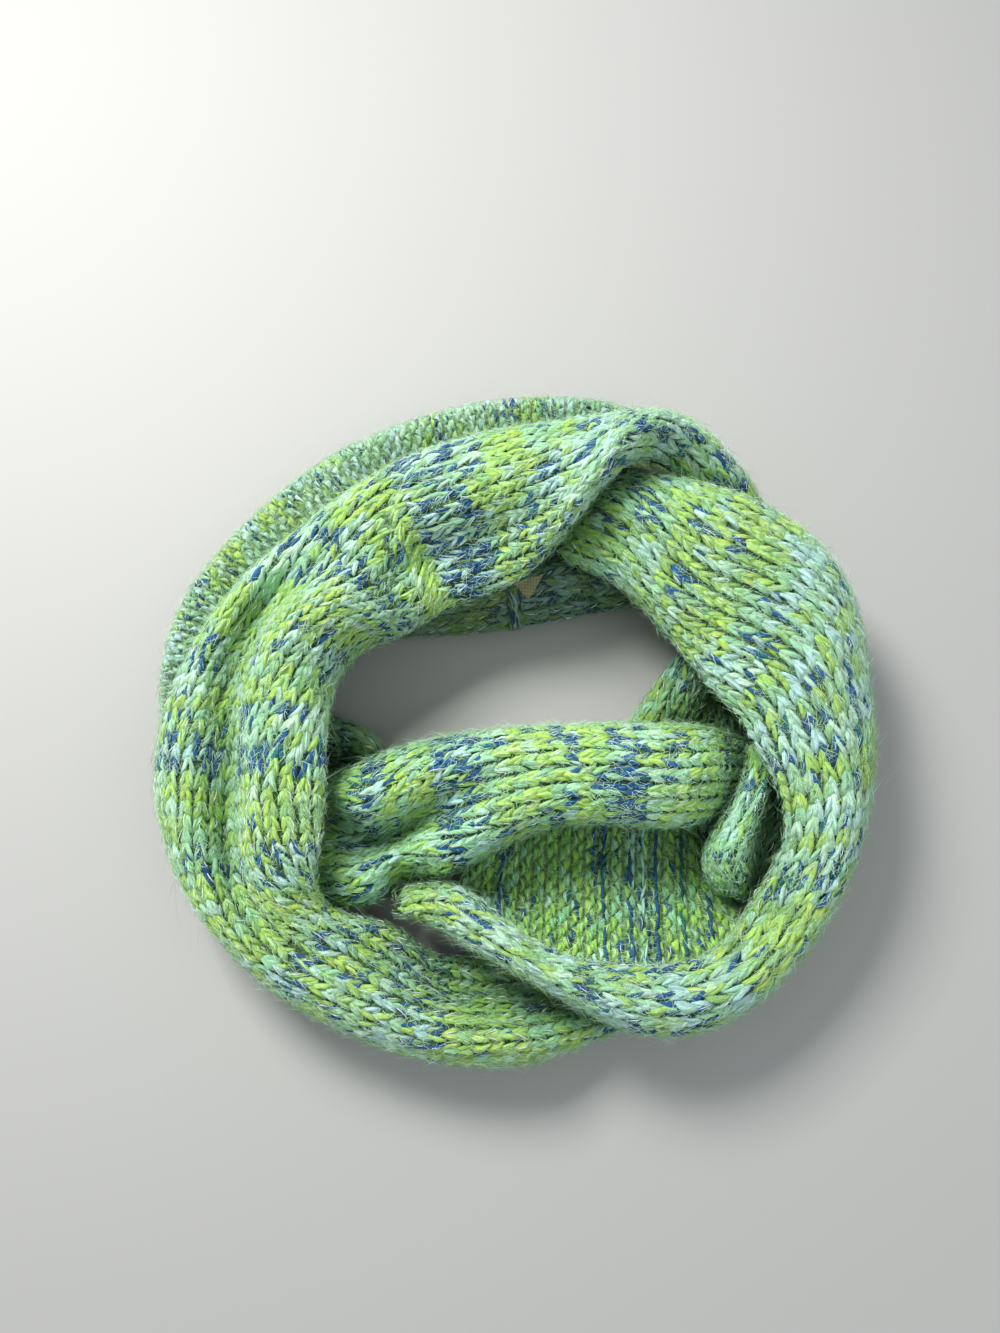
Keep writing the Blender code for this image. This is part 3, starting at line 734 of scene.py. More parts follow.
# legs, bows and loose fibres are small pieces laid on the cloth many times over
def makeGrain(sides, cuts, taper):
    # one short length of yarn, from z = 0 to z = 1, of radius 1 before it tapers
    tip = taper[1][-1]
    bm = bmesh.new()
    bmesh.ops.create_cone(bm, cap_ends=True, segments=sides, radius1=1, radius2=1 if tip else 0, depth=1)
    if cuts:
        upright = [edge for edge in bm.edges if abs(edge.verts[0].co.z - edge.verts[1].co.z) > 0.5]
        bmesh.ops.subdivide_edges(bm, edges=upright, cuts=cuts, use_grid_fill=False)
    bmesh.ops.translate(bm, vec=(0, 0, 0.5), verts=bm.verts)
    bmesh.ops.recalc_face_normals(bm, faces=bm.faces)
    bmesh.ops.triangulate(bm, faces=bm.faces)
    bm.verts.index_update()
    points = np.array([vertex.co for vertex in bm.verts])
    faces = np.array([[vertex.index for vertex in face.verts] for face in bm.faces])
    bm.free()
    reach = np.maximum(np.linalg.norm(points[:, :2], axis=1, keepdims=True), 1e-9)
    around = points[:, :2] / reach
    points[:, :2] = around * np.interp(points[:, 2:], *taper) * (reach > 1e-6)
    return {"points": points, "faces": faces, "around": around, "ply": np.zeros(len(points), int)}


def twistPlies(grain):
    # some plies of one length of yarn wound round each other
    points, size = grain["points"], len(grain["points"])
    wide = np.linalg.norm(points[:, :2], axis=1)
    joined = []
    for index in range(knit["plies"]):
        angle = 2 * math.pi * index / knit["plies"] + knit["plyTurn"] * points[:, 2]
        place = points * [knit["plyThick"], knit["plyThick"], 1]
        place[:, 0] += knit["plyApart"] * wide * np.cos(angle)
        place[:, 1] += knit["plyApart"] * wide * np.sin(angle)
        joined.append(place)
    order = np.arange(knit["plies"])
    return {
        "points": np.concatenate(joined),
        "faces": np.concatenate([grain["faces"] + size * index for index in order]),
        "around": np.tile(grain["around"], (len(order), 1)),
        "ply": np.repeat(order, size),
    }


# a grain is: its sides, the cuts along it, and its radius at shares of its length
yarnGrain = twistPlies(makeGrain(5, 2, ([0.0, 0.33, 0.67, 1.0], [0.50, 1.0, 0.95, 0.42])))
fibreGrain = makeGrain(3, 0, ([0.0, 1.0], [1.0, 0.0]))
hairGrain = makeGrain(3, 4, ([0.0, 0.6, 1.0], [1.0, 0.8, 0.2]))
glintGrain = makeGrain(3, 2, ([0.0, 0.33, 0.67, 1.0], [0.3, 1.0, 1.0, 0.3]))
print("grains made:", [len(grain["faces"]) for grain in (yarnGrain, fibreGrain, hairGrain, glintGrain)])


def dot(first, second):
    return (first * second).sum(axis=-1)


edgeSlack = 0.35  # how far a grain may reach past the edge of the grid, in its steps
mostSkew = 0.02  # keeps the steps finite where rows and columns run nearly the same way


def layGrains(grid, grain, place, size):
    # place: row, column, drift of the column with each row, heading from the way the wale runs
    # size: length, width, height, bend, arch, lift, rise
    points = grain["points"]
    row, column, drift, heading = place
    downRow, overColumn = slopesAt(grid, row, column)
    out = outwards(downRow, overColumn)
    waleWay = downRow + drift[:, None] * overColumn
    waleWay /= np.maximum(np.linalg.norm(waleWay, axis=-1, keepdims=True), 1e-12)
    besideWay = np.cross(waleWay, out)
    rowRow, columnColumn = dot(downRow, downRow), dot(overColumn, overColumn)
    rowColumn = dot(downRow, overColumn)
    scale = np.maximum(rowRow * columnColumn - rowColumn**2, mostSkew * rowRow * columnColumn)
    steps = []  # rows and columns that a metre along the wale and beside it takes
    for way in (waleWay, besideWay):
        onRow, onColumn = dot(way, downRow), dot(way, overColumn)
        steps.append(((onRow * columnColumn - onColumn * rowColumn) / scale)[:, None])
        steps.append(((onColumn * rowRow - onRow * rowColumn) / scale)[:, None])

    length, width, height, bend, arch, lift, rise = (
        (np.zeros(len(row)) + values)[:, None] * mm for values in size
    )
    t = points[:, 2]
    hump = 1 - (2 * t - 1) ** 2
    spin = chance.uniform(0, 2 * math.pi, (len(row), 1))
    across = points[:, 0] * np.cos(spin) - points[:, 1] * np.sin(spin)
    upright = points[:, 0] * np.sin(spin) + points[:, 1] * np.cos(spin)
    along = (t - 0.5) * length
    beside = across * width / 2 + bend * hump
    up = lift + arch * hump + rise * t**1.5 + upright * height / 2
    turn = heading[:, None]
    ahead = along * np.cos(turn) - beside * np.sin(turn)
    aside = along * np.sin(turn) + beside * np.cos(turn)
    rows = row[:, None] + ahead * steps[0] + aside * steps[2]
    columns = column[:, None] + ahead * steps[1] + aside * steps[3]
    rows = rows.clip(-edgeSlack, grid.shape[0] - 1 + edgeSlack)
    columns = columns.clip(-edgeSlack, grid.shape[1] - 1 + edgeSlack)
    return onCloth(grid, rows, columns) + outwards(*slopesAt(grid, rows, columns)) * up[..., None]


def drawPly(mixes, kind, draw):
    names = list(ply)
    odds = np.array([[mix.get(name, 0) for name in names] for mix in mixes.values()], float)
    total = (odds / odds.sum(axis=1, keepdims=True)).cumsum(axis=1)[kind]
    pick = (total < draw[:, None]).sum(axis=1).clip(0, len(names) - 1)
    return np.array([ply[name] for name in names])[pick]


def colourGrains(kind, shade):
    # both plies of each grain along the yarn, which keeps its colours for a while
    colours = []
    for mixes in (mainPly, secondPly):
        run = np.cumsum(chance.random(len(kind)) > marl["stay"])
        draw = chance.random(len(kind))[run]
        vary = chance.normal(1, marl["vary"], (len(kind), 1)).clip(*marl["range"])
        # shade is painted light and shade: the yarn is drawn lighter or darker for how it lies in the light
        colours.append(drawPly(mixes, kind, draw) * vary * shade)
    first, second = colours
    alike = (first[:, :1] > marl["darkest"] * shade) & (second[:, :1] > marl["darkest"] * shade)
    second = np.where(alike, second + (first - second) * marl["likeness"], second)
    return np.stack([first, second], axis=1)


# how far grains, and the plies of one grain, lie apart in the pattern of fibres
fibreShift = {"grain": 40, "ply": 7}


def grainMesh(name, grain, places, colours, share, material):
    # joins every copy of the grain into one mesh; each ply has its own colour, flecked with the next
    count, size = places.shape[:2]
    faces = (grain["faces"][None] + (np.arange(count) * size)[:, None, None]).reshape(-1, 3)
    mesh = bpy.data.meshes.new(name)
    mesh.vertices.add(count * size)
    mesh.vertices.foreach_set("co", places.reshape(-1))
    mesh.loops.add(len(faces) * 3)
    mesh.loops.foreach_set("vertex_index", faces.reshape(-1).astype(np.int32))
    mesh.polygons.add(len(faces))
    mesh.polygons.foreach_set("loop_start", np.arange(0, len(faces) * 3, 3, dtype=np.int32))
    mesh.update(calc_edges=True)
    mesh.shade_smooth()
    strand = np.empty((count, size, 3))
    strand[:, :, :2] = grain["around"]
    shift = chance.random((count, 1)) * fibreShift["grain"]
    strand[:, :, 2] = shift + grain["points"][:, 2] + fibreShift["ply"] * grain["ply"]
    values = [
        ("strand", "FLOAT_VECTOR", "vector", strand), ("share", "FLOAT", "value", np.repeat(share, size)),
    ]
    for label, step in (("plyA", 0), ("plyB", 1)):
        full = np.ones((count, size, 4))
        full[:, :, :3] = colours[:, (grain["ply"] + step) % colours.shape[1]]
        values.append((label, "FLOAT_COLOR", "color", full))
    for label, kind, field, value in values:
        mesh.attributes.new(label, kind, "POINT").data.foreach_set(field, value.reshape(-1))
    mesh.materials.append(material)
    return linkedObject(name, mesh)


# how stitches are set out: the first and last rows lie this many rows inside the ends and the
# outermost stitches this many wales inside the edge; drift is measured over so many grid rows
# to each side, and lengths in so many steps for each grid point
setOut = {"firstRow": 0.6, "lastRow": 0.5, "edge": 0.45, "driftStep": 0.3, "steps": 12}


def acrossFrom(grid, at, even):
    # the columns of one row, and how far each lies from the even one
    fine = np.linspace(0, grid.shape[1] - 1, setOut["steps"] * grid.shape[1])
    across = lengthsAlong(onCloth(grid, np.full(len(fine), at), fine)) / mm
    return fine, across - np.interp(even, fine, across)


def stitchPlaces(piece, grid):
    # row, column, drift of the column with each row and distance along the stripes, for every stitch
    rows, columns = grid.shape[:2]
    fineRows = np.linspace(0, rows - 1, setOut["steps"] * rows)
    even = piece["evenAt"] * (columns - 1)
    stripesAt = piece.get("stripesAt", piece["evenAt"]) * (columns - 1)
    length, stripeLength = (
        lengthsAlong(onCloth(grid, fineRows, np.full(len(fineRows), at))) / mm for at in (even, stripesAt)
    )
    found = []
    start, end = setOut["firstRow"] * knit["row"], length[-1] - setOut["lastRow"] * knit["row"]
    for distance in np.arange(start, end, knit["row"]):
        at = np.interp(distance, length, fineRows)
        before, after = max(at - setOut["driftStep"], 0), min(at + setOut["driftStep"], rows - 1)
        across = acrossFrom(grid, at, even)[1]
        first = math.ceil(across[0] / knit["wale"] + setOut["edge"])
        last = math.floor(across[-1] / knit["wale"] - setOut["edge"])
        wales = np.arange(first, last + 1) * knit["wale"]
        column, columnBefore, columnAfter = (
            np.interp(wales, *reversed(acrossFrom(grid, near, even))) for near in (at, before, after)
        )
        drift = (columnAfter - columnBefore) / (after - before)
        stripe = np.interp(at, fineRows, stripeLength)
        found.append(np.stack(np.broadcast_arrays(at, column, drift, stripe), axis=1))
    return np.concatenate(found)


def rowsAndColumns(grid, counts):
    # so many rows and columns, spread evenly over the grid
    ends = [np.linspace(0, size - 1, count) for size, count in zip(grid.shape[:2], counts)]
    return np.meshgrid(*ends, indexing="ij")


# in mm, but for how many times finer the grid gets, the number of points along a crease, and
# the points between which it fades in and out
creaseRule = {
    "swellFrom": 9.0, "swellWidth": 4.5, "stepOver": 1.9, "stepFade": 15.0,
    "finer": 3, "points": 60, "fade": ((0, 15, 52, 59), (0, 1, 1, 0)),
}


def creaseCloth(grid, creases):
    # a finer grid of the same cloth, with creases pressed into it and a swelling on both sides;
    # a crease is: how deep, how wide, how high the cloth swells beside it, how much higher its left
    # side lies than its right, and its line in the tables
    row, column = rowsAndColumns(grid, [(size - 1) * creaseRule["finer"] + 1 for size in grid.shape[:2]])
    out = outwards(*slopesAt(grid, row, column))
    fine = onCloth(grid, row, column)
    facing = out[:, :, 2].clip(0, 1)
    push = np.zeros(fine.shape[:2])
    for depth, width, rise, lap, crease in creases:
        line = spread(np.array(crease, float) - middle, creaseRule["points"])
        apart = fine[:, :, None, :2] / mm - line[None, None]
        gap = np.linalg.norm(apart, axis=-1)
        nearest, spot = gap.min(axis=-1), gap.argmin(axis=-1)
        fade = np.interp(spot, *creaseRule["fade"])
        ahead = np.gradient(line, axis=0)[spot]
        beside = np.take_along_axis(apart, spot[:, :, None, None], axis=2)[:, :, 0]
        side = ahead[..., 0] * beside[..., 1] - ahead[..., 1] * beside[..., 0]
        side *= nearest / np.maximum(np.abs(side), 1e-9)
        step = lap * np.tanh(side / creaseRule["stepOver"]) * np.exp(-nearest / creaseRule["stepFade"])
        dip = depth * np.exp(-((nearest / width) ** 2))
        swell = rise * np.exp(-(((nearest - creaseRule["swellFrom"]) / creaseRule["swellWidth"]) ** 2))
        push += fade * (swell - dip + step) * facing
    return fine + out * push[..., None] * mm


def coversOf(piece):
    return sorted({name for covers, _ in piece["under"] for name in covers})


lowestFacing = -0.72  # stitches that face further down than this are left out


def keepSeen(piece, grid, places):
    # leaves out the stitches that face the table and those deep under another stretch
    row, column = places[:, 0], places[:, 1]
    keep = outwards(*slopesAt(grid, row, column))[:, 2] > lowestFacing
    where = onCloth(grid, row, column)
    keep[keep] = ~coveredAt(where[keep], coversOf(piece))
    return places[keep]


stripeWander = 1.8  # mm, how uneven the edges of the stripes are


def stripeOf(piece, distance):
    starts = [start for start, _ in piece["stripes"]]
    kinds = np.array([list(mainPly).index(kind) for _, kind in piece["stripes"]])
    at = distance + chance.normal(0, stripeWander, len(distance))
    return kinds[np.searchsorted(starts, at, side="right").clip(1) - 1]


def interleave(groups, count):
    # joins the values of the grains of one stitch, stitch after stitch
    return [
        np.stack([np.broadcast_to(value, count) for value in values], axis=1).reshape(-1)
        for values in zip(*groups)
    ]


def spanOf(vectors):
    return np.linalg.norm(vectors, axis=1) / mm


def knitLegs(piece, grid, places):
    # two legs a stitch, leaning away from each other
    row, column, drift, distance = places.T
    downRow, overColumn = slopesAt(grid, row, column)
    perRow, perColumn = spanOf(downRow + drift[:, None] * overColumn), spanOf(overColumn)
    even = np.full(len(row), piece["evenAt"] * (grid.shape[1] - 1))
    perEvenRow = spanOf(slopesAt(grid, row, even)[0])
    pull = np.clip(perRow / perEvenRow, *knit["pull"])
    kind = stripeOf(piece, distance)
    count = len(row)
    laid, sizes = [], []
    for side in (-1, 1):
        length = knit["legLength"] * pull * chance.normal(1, knit["lengthVary"], count)
        start, end = (side * knit["wale"] * knit[key] for key in ("legFrom", "legTo"))
        lean = np.arcsin((end - start) / length.clip(knit["wale"]))
        lean += chance.normal(0, knit["lengthVary"], count)
        heading = lean if piece["points"] > 0 else math.pi - lean
        stray = chance.normal(0, knit["wander"], (2, count))
        laid.append((
            row + stray[0] / perRow,
            column + ((start + end) / 2 + stray[1]) / perColumn + drift * stray[0] / perRow,
            drift, heading,
        ))
        thick = chance.normal(1, knit["thickVary"], count) * pull.clip(*knit["thickPull"])
        sizes.append((
            length, knit["legWidth"] * thick, knit["legHeight"] * thick,
            side * piece["points"] * knit["legBend"], knit["legArch"],
            knit["legLift"] + chance.normal(0, knit["liftVary"], count), knit["legDive"],
        ))
    return interleave(laid, count), interleave(sizes, count), np.repeat(kind, len(laid))


def purlBows(piece, grid, places):
    # two bows a stitch, the head of its loop and the foot that runs on to the next loop, and
    # lower down the side of the loop, which fills the gap between the rows
    row, column, drift, distance = places.T
    perRow, perColumn = (spanOf(way) for way in slopesAt(grid, row, column))
    kind = stripeOf(piece, distance)
    count = len(row)
    bow = (knit["bowLength"], knit["bowArch"], knit["bowLift"])
    parts = (  # rows and wales aside, heading, bend, length, arch, lift
        (knit["bowAside"], 0.0, math.pi / 2, -knit["bowBend"], *bow),
        (-knit["bowAside"], 0.5, math.pi / 2, knit["bowBend"], *bow),
        (0.5, 0.25, 0.0, 0.0, knit["sideLength"], knit["sideArch"], knit["sideLift"]),
    )
    laid, sizes = [], []
    for rowsAside, walesAside, heading, bend, length, arch, lift in parts:
        stray = chance.normal(0, knit["bowWander"], (2, count))
        laid.append((
            row + (rowsAside * knit["row"] + stray[0]) / perRow,
            column + (walesAside * knit["wale"] + stray[1]) / perColumn,
            drift, heading + chance.normal(0, knit["bowTurn"], count),
        ))
        thick = knit["bowWidth"] * chance.normal(1, knit["thickVary"], count)
        sizes.append((
            length * chance.normal(1, knit["lengthVary"], count), thick, thick, bend, arch,
            lift + chance.normal(0, knit["liftVary"], count), 0.0,
        ))
    return interleave(laid, count), interleave(sizes, count), np.repeat(kind, len(parts))


# yarn deep in a fold is drawn darker, by how little of the sky it sees: rays in a spiral with
# so many radians between them, from the start to their reach in mm; the powers make deep folds
# greener, and spots are the rows and columns where light is measured
daylight = {
    "rays": 14, "turn": 2.4, "start": 3.5, "reach": 60.0, "leastWeight": 0.05, "least": 0.20,
    "spots": (40, 14), "powers": (1.45, 0.95, 1.4),
}


def lightAt(points, out):
    turns = np.arange(daylight["rays"])
    height = (turns + 0.5) / daylight["rays"]
    flat = np.sqrt(1 - height**2)
    angle = turns * daylight["turn"]
    ways = np.stack([flat * np.cos(angle), flat * np.sin(angle), height], axis=1)
    reach = daylight["reach"] * mm
    light = []
    for point, up in zip(points, out):
        start = Vector(point + up * daylight["start"] * mm)
        weights = np.maximum(ways @ up, daylight["leastWeight"])
        clear = [
            not any(tree.ray_cast(start, Vector(way), reach)[0] for tree in trees.values()) for way in ways
        ]
        light.append(dot(weights, np.array(clear, float)) / weights.sum())
    return daylight["least"] + (1 - daylight["least"]) * np.array(light)


def daylightMap(grid):
    row, column = rowsAndColumns(grid, daylight["spots"])
    out = outwards(*slopesAt(grid, row, column))
    light = lightAt(onCloth(grid, row, column).reshape(-1, 3), out.reshape(-1, 3)).reshape(row.shape)
    light[1:-1] = (light[:-2] + 2 * light[1:-1] + light[2:]) / 4
    return light


def lightOver(grid, light, row, column):
    # red, green and blue of the light at rows and columns in between
    down, over = (
        np.clip(place / (size - 1), 0, 1) * (count - 1)
        for place, size, count in zip((row, column), grid.shape[:2], light.shape)
    )
    i = np.clip(np.floor(down).astype(int), 0, light.shape[0] - 2)
    j = np.clip(np.floor(over).astype(int), 0, light.shape[1] - 2)
    down, over = down - i, over - j
    before = light[i, j] * (1 - over) + light[i, j + 1] * over
    after = light[i + 1, j] * (1 - over) + light[i + 1, j + 1] * over
    return (before * (1 - down) + after * down)[:, None] ** daylight["powers"]


# loose fibres, in mm: short ones all over, and long hairs, one in so many of them
fuzzRule = {
    "oneIn": 1, "length": 4.4, "vary": 0.45, "width": 0.21, "rise": 2.8, "bend": 0.0, "lift": 0.9,
    "splay": 0.7, "light": 1.25,
}
hairRule = {
    "oneIn": 22, "length": 12.0, "vary": 0.35, "width": 0.14, "rise": 6.0, "bend": 4.0, "lift": 0.5,
    "splay": 2.0, "light": 0.85,
}
# for both: colours, darkest and lightest, shortest and longest as a share of the usual length,
# how much more places are tried than are needed, and how far down the cloth under one may face
looseFibre = {
    "colours": ("lime", "mint", "pale", "pale"), "shades": (0.7, 1.15), "lengths": (0.4, 2.2),
    "bendVary": 0.6, "tries": 6, "spare": 2, "fullest": 0.98, "lowestFacing": -0.3,
}
# the shiny thread shows on some legs, at these odds; sizes in mm
glintRule = {
    "odds": 0.28, "length": 6.5, "lengths": (0.6, 1.3), "width": 0.38, "aside": 0.8, "above": 1.45,
    "sway": 0.12, "grey": 0.8,
}


def fibrePlaces(piece, grid, count):
    # spots spread evenly over the cloth that shows
    rows, columns = grid.shape[:2]
    tries = looseFibre["tries"] * count
    row = chance.random(tries) * (rows - 1)
    column = chance.random(tries) * (columns - 1)
    downRow, overColumn = slopesAt(grid, row, column)
    area = np.linalg.norm(np.cross(overColumn, downRow), axis=1)
    keep = chance.random(tries) < area / np.quantile(area, looseFibre["fullest"])
    keep &= outwards(downRow, overColumn)[:, 2] > looseFibre["lowestFacing"]
    where = np.flatnonzero(keep)[: looseFibre["spare"] * count]
    where = where[~coveredAt(onCloth(grid, row[where], column[where]), coversOf(piece))][:count]
    return row[where], column[where]


def layFibres(piece, grid, light, name, grain, rule, count):
    row, column = fibrePlaces(piece, grid, count)
    count = len(row)
    length = rule["length"] * chance.lognormal(0, rule["vary"], count).clip(*looseFibre["lengths"])
    bend = rule["bend"] * chance.normal(0, looseFibre["bendVary"], count)
    rise = rule["rise"] * length / rule["length"] * chance.random(count) ** 2
    heading = chance.normal(0, rule["splay"], count) + math.pi * (chance.random(count) < 0.5)
    spots = layGrains(
        grid, grain, (row, column, 0 * row, heading),
        (length, rule["width"], rule["width"], bend, 0, rule["lift"], rise))
    colours = np.array([ply[kind] for kind in looseFibre["colours"]])
    colour = colours[chance.integers(0, len(colours), count)]
    colour = colour * chance.uniform(*looseFibre["shades"], (count, 1)) * rule["light"]
    colour *= lightOver(grid, light, row, column)
    # the stretch's shade is painted light and shade on the fibres too
    return grainMesh(name, grain, spots, colour[:, None] * piece["shade"], np.ones(count), fuzzMaterial)


def layGlints(piece, grid, place, size):
    # a thin thread on top of some of the legs
    rule = glintRule
    chosen = chance.random(len(size[0])) < rule["odds"]
    row, column, drift, heading = (values[chosen] for values in place)
    bend, arch, lift, rise = (values[chosen] for values in size[3:])
    count = len(row)
    column = column + chance.normal(0, rule["aside"], count) / spanOf(slopesAt(grid, row, column)[1])
    heading = heading + chance.normal(0, rule["sway"], count)
    length = rule["length"] * chance.uniform(*rule["lengths"], count)
    spots = layGrains(
        grid, glintGrain, (row, column, drift, heading),
        (length, rule["width"], rule["width"], bend, arch, lift + rule["above"], rise))
    grey = np.full((count, 1, 3), rule["grey"])
    return grainMesh(f"{piece['node']}_glints", glintGrain, spots, grey, np.ones(count), glintMaterial)


# threads that run along a row: sizes in mm, but near and aside in rows and sway in radians
threadRule = {
    "odds": 0.88, "length": 9.4, "width": 1.7, "arch": 0.3, "lift": 1.15, "near": 0.5,
    "aside": 0.5, "stray": 0.3, "sway": 0.15,
}


def layThreads(piece, grid, light, places):
    # one ply that runs straight along a whole row, at the edge of the row
    rule = threadRule
    apart = np.abs(places[:, 3:] - [at for at, _ in piece["threads"]])
    near = apart.min(axis=1) < rule["near"] * knit["row"]
    chosen = np.flatnonzero(near & (chance.random(len(near)) < rule["odds"]))
    row, column, drift = places[chosen, :3].T
    colours = np.array([ply[name] for _, name in piece["threads"]])[apart[chosen].argmin(axis=1)]
    count = len(chosen)
    perRow = spanOf(slopesAt(grid, row, column)[0])
    row = row + (rule["aside"] * knit["row"] + chance.normal(0, rule["stray"], count)) / perRow
    heading = math.pi / 2 + chance.normal(0, rule["sway"], count)
    spots = layGrains(
        grid, glintGrain, (row, column, drift, heading),
        (rule["length"], rule["width"], rule["width"], 0, rule["arch"], rule["lift"], 0))
    # the stretch's shade and its daylight map are painted light and shade on the threads
    colours = (colours * piece["shade"] * lightOver(grid, light, row, column))[:, None]
    return grainMesh(f"{piece['node']}_threads", glintGrain, spots, colours, np.ones(count), yarnMaterial)


def clothSheet(piece, grid):
    # the thin cloth under the stitches
    rows, columns = piece["fine"]
    bm = bmesh.new()
    bmesh.ops.create_grid(bm, x_segments=rows, y_segments=columns, size=1)
    corners = np.array([vertex.co for vertex in bm.verts])
    row = (corners[:, 0] + 1) / 2 * (grid.shape[0] - 1)
    column = (corners[:, 1] + 1) / 2 * (grid.shape[1] - 1)
    out = outwards(*slopesAt(grid, row, column))
    places = onCloth(grid, row, column) + out * knit["backing"] * mm
    for vertex, place in zip(bm.verts, places):
        vertex.co = place
    bmesh.ops.reverse_faces(bm, faces=bm.faces)
    mesh = bpy.data.meshes.new(piece["node"] + "_cloth")
    bm.to_mesh(mesh)
    bm.free()
    mesh.shade_smooth()
    mesh.materials.append(backingMaterials[piece["side"]])
    obj = linkedObject(mesh.name, mesh)
    wall = obj.modifiers.new("cloth", "SOLIDIFY")
    wall.thickness = knit["backingThick"] * mm
    wall.offset = -1
    return obj


def makeStretch(piece):
    grid = clothGrid(piece)
    if "creases" in piece:
        grid = creaseCloth(grid, piece["creases"])
    name = piece["node"]
    sheet = clothSheet(piece, grid)
    places = keepSeen(piece, grid, stitchPlaces(piece, grid))
    light = daylightMap(grid)
    lay = knitLegs if piece["side"] == "knit" else purlBows
    place, size, kind = lay(piece, grid, places)
    # painted light and shade: the stretch's shade and its daylight map make the yarn lighter or darker
    colours = colourGrains(kind, piece["shade"]) * lightOver(grid, light, *place[:2])[:, None]
    share = chance.uniform(*marl["share"], len(kind))
    spots = layGrains(grid, yarnGrain, place, size)
    pieces = []
    cuts = np.linspace(0, len(kind), piece.get("meshes", 1) + 1).astype(int)
    for part, (first, last) in enumerate(zip(cuts, cuts[1:])):
        chosen = slice(first, last)
        pieces.append(grainMesh(
            f"{name}_stitches_{part + 1}", yarnGrain, spots[chosen], colours[chosen], share[chosen],
            yarnMaterial))
    pieces.append(layGlints(piece, grid, place, size))
    if "threads" in piece:
        pieces.append(layThreads(piece, grid, light, places))
    for label, grain, rule in (("fuzz", fibreGrain, fuzzRule), ("hairs", hairGrain, hairRule)):
        fibres = piece["fuzz"] // rule["oneIn"]
        pieces.append(layFibres(piece, grid, light, f"{name}_{label}", grain, rule, fibres))
    for obj in (sheet, *pieces):
        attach(obj, "root")
    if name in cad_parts:
        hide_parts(name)
    count = sum(len(obj.data.polygons) for obj in pieces)
    print(name, len(places), "stitches,", count, "triangles")
    return grid


grids = {piece["node"]: makeStretch(piece) for piece in stretches}

# the join of the two ends: strands of yarn sewn over the edge of the inner back stretch
seam = {
    "at": 2.0,  # x in the tables
    "strands": (-2.3, -0.8, 0.7, 2.1),  # mm to the side of it
    "columns": (2.1, 6.3),  # of the grid, and in how many steps their length is measured
    "steps": 60,
    "pitch": 5.0, "first": 1.5, "length": 9.0, "width": 2.1, "widthVary": 0.08, "arch": 0.5,
    # shade: painted shade, the seam's yarn drawn darker like the inner back stretch it lies on
    "lift": 0.9, "liftVary": 0.25, "bendVary": 0.3, "sway": 0.16, "shade": 0.42,
}


def makeSeam(grid):
    spots = []
    for aside in seam["strands"]:
        columns = np.linspace(*seam["columns"], seam["steps"])
        middleColumn = grid[:, int(np.mean(seam["columns"])), 0]
        row = np.interp((seam["at"] + aside - middle[0]) * mm, middleColumn, np.arange(len(grid)))
        length = lengthsAlong(onCloth(grid, np.full(len(columns), row), columns)) / mm
        for distance in np.arange(seam["first"], length[-1], seam["pitch"]):
            spots.append((row, np.interp(distance, length, columns)))
    row, column = np.array(spots).T
    count = len(row)
    heading = math.pi / 2 + chance.normal(0, seam["sway"], count)
    size = (
        seam["length"], seam["width"] * chance.normal(1, seam["widthVary"], count), seam["width"],
        chance.normal(0, seam["bendVary"], count), seam["arch"],
        seam["lift"] + chance.normal(0, seam["liftVary"], count), 0,
    )
    places = layGrains(grid, yarnGrain, (row, column, 0 * row, heading), size)
    colours = colourGrains(np.full(count, list(mainPly).index("flecked")), seam["shade"])
    share = chance.uniform(*marl["share"], count)
    strands = grainMesh("end_seam_strands", yarnGrain, places, colours, share, yarnMaterial)
    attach(strands, "root")
    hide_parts("end_seam")


makeSeam(grids["inner_back_stretch"])

tape = {
    "colour": (0.36, 0.33, 0.17), "shades": (0.55, 1.0), "threads": 1500, "uneven": 0.6,
    "roughness": 0.85, "bump": 0.6, "bumpHeight": 0.2 * mm,
}


def makeTapeMaterial():
    # threads over and under each other
    material, tree = newMaterial("wovenTape")
    place = tree.nodes.new("ShaderNodeTexCoord").outputs["Object"]
    waves = []
    for direction in ("X", "Y"):
        wave = addNode(tree, "TexWave", {
            "Vector": place, "Scale": tape["threads"] / (2 * math.pi), "Distortion": tape["uneven"],
        })
        wave.bands_direction = direction
        waves.append(wave.outputs["Fac"])
    weave = mathNode(tree, "MAXIMUM", *waves)
    return finishMaterial(material, {
        "Base Color": rampNode(tree, weave, (0, 1), shadesOf(tape["colour"], tape["shades"])),
        "Normal": bumpNode(tree, weave, tape), "Roughness": tape["roughness"],
    })


for name, material in (("hidden_layers", coreMaterial), ("sewn_tab", makeTapeMaterial())):
    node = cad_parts[name]
    node.data.materials.clear()
    node.data.materials.append(material)

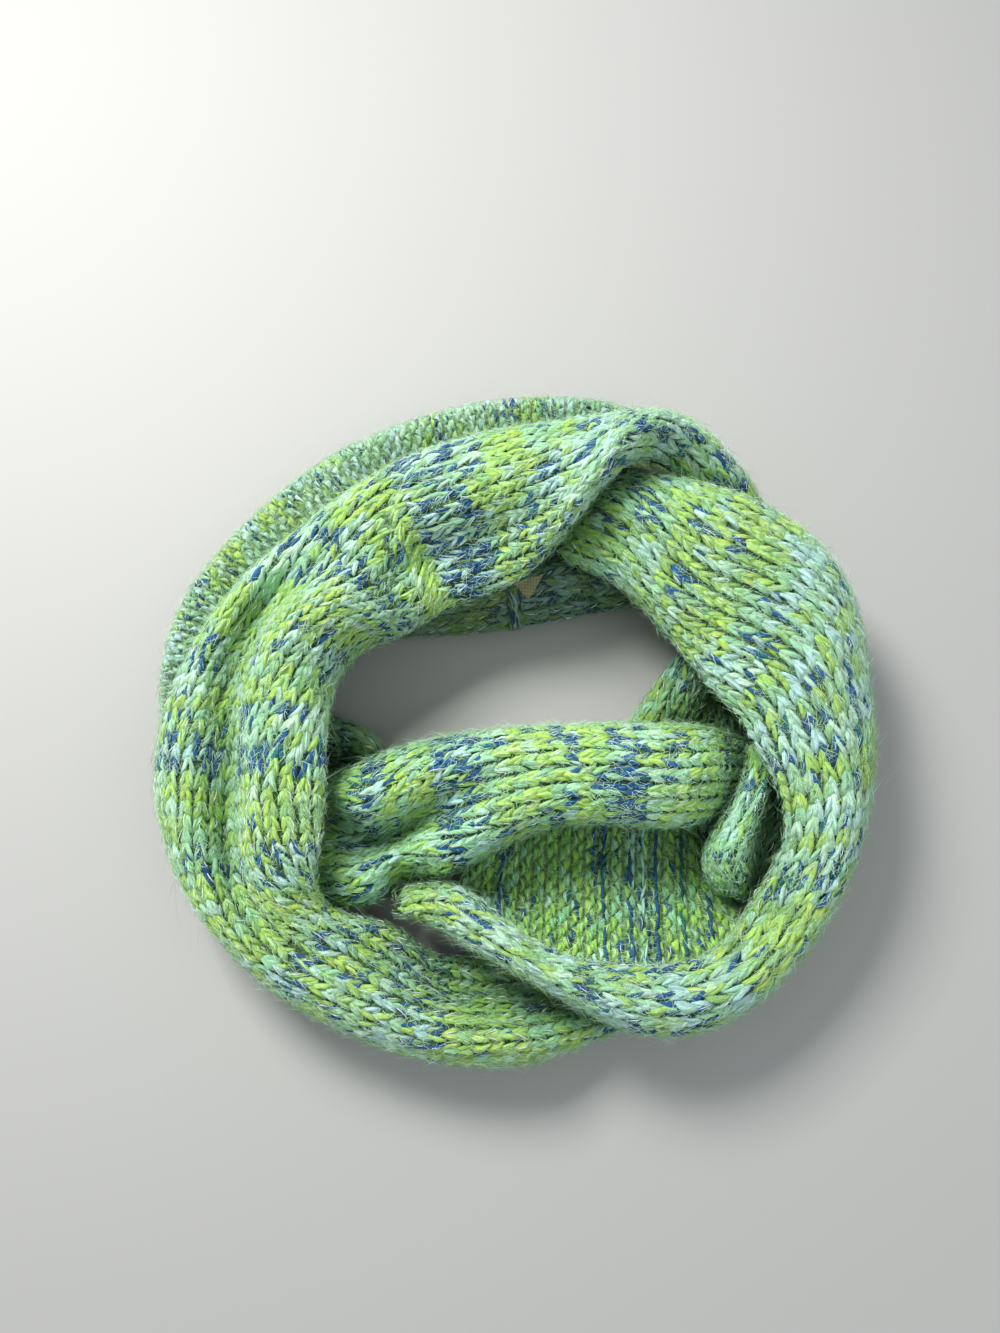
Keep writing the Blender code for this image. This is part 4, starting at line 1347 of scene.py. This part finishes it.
stage = {"colour": (0.50, 0.50, 0.49), "roughness": 0.7, "size": 3.0}


def makeFloor():
    bm = bmesh.new()
    bmesh.ops.create_grid(bm, x_segments=1, y_segments=1, size=stage["size"])
    mesh = bpy.data.meshes.new("floor")
    bm.to_mesh(mesh)
    bm.free()
    mesh.materials.append(finishMaterial(
        newMaterial("floorPaint")[0],
        {"Base Color": (*stage["colour"], 1), "Roughness": stage["roughness"]}))
    linkedObject("floor", mesh)


lights = {
    # name: place, aimed at, side length, power, colour
    "key": ((-0.44, 0.52, 0.80), (0, 0, 0), 0.36, 12.4, (1.0, 0.985, 0.95)),
    "fill": ((0.7, -0.5, 0.9), (0, 0, 0), 0.8, 2.2, (0.95, 0.98, 1.0)),
}
world = {"colour": (0.90, 0.96, 1.0), "strength": 0.40}


def makeLights():
    for name, (place, target, side, power, colour) in lights.items():
        light = bpy.data.lights.new(name, "AREA")
        light.size = side
        light.energy = power
        light.color = colour
        obj = linkedObject(name, light)
        obj.location = place
        obj.rotation_euler = (Vector(place) - Vector(target)).to_track_quat("Z", "Y").to_euler()
    studio = bpy.data.worlds.new("studio")
    studio.use_nodes = True
    background = studio.node_tree.nodes["Background"].inputs
    background["Color"].default_value = (*world["colour"], 1)
    background["Strength"].default_value = world["strength"]
    bpy.context.scene.world = studio
    bpy.context.scene.view_settings.view_transform = "Standard"


view = {
    "place": (-3.3, -100.7, 463.6),  # mm
    "tilt": 15.0,  # degrees from straight down
    "focal": 1007,  # in pixels of a frame so many pixels high
    "frameHeight": 1333,
    "sensor": 36,  # mm
    "near": 10,
}


def makeCamera():
    camera = bpy.data.cameras.new("camera")
    camera.sensor_fit = "VERTICAL"
    camera.sensor_height = view["sensor"]
    camera.lens = view["sensor"] * view["focal"] / view["frameHeight"]
    camera.clip_start = view["near"] * mm
    obj = linkedObject("camera", camera)
    obj.location = [value * mm for value in view["place"]]
    obj.rotation_euler = (math.radians(view["tilt"]), 0, 0)
    bpy.context.scene.camera = obj


makeFloor()
makeLights()
makeCamera()
print("stage, light and camera made")
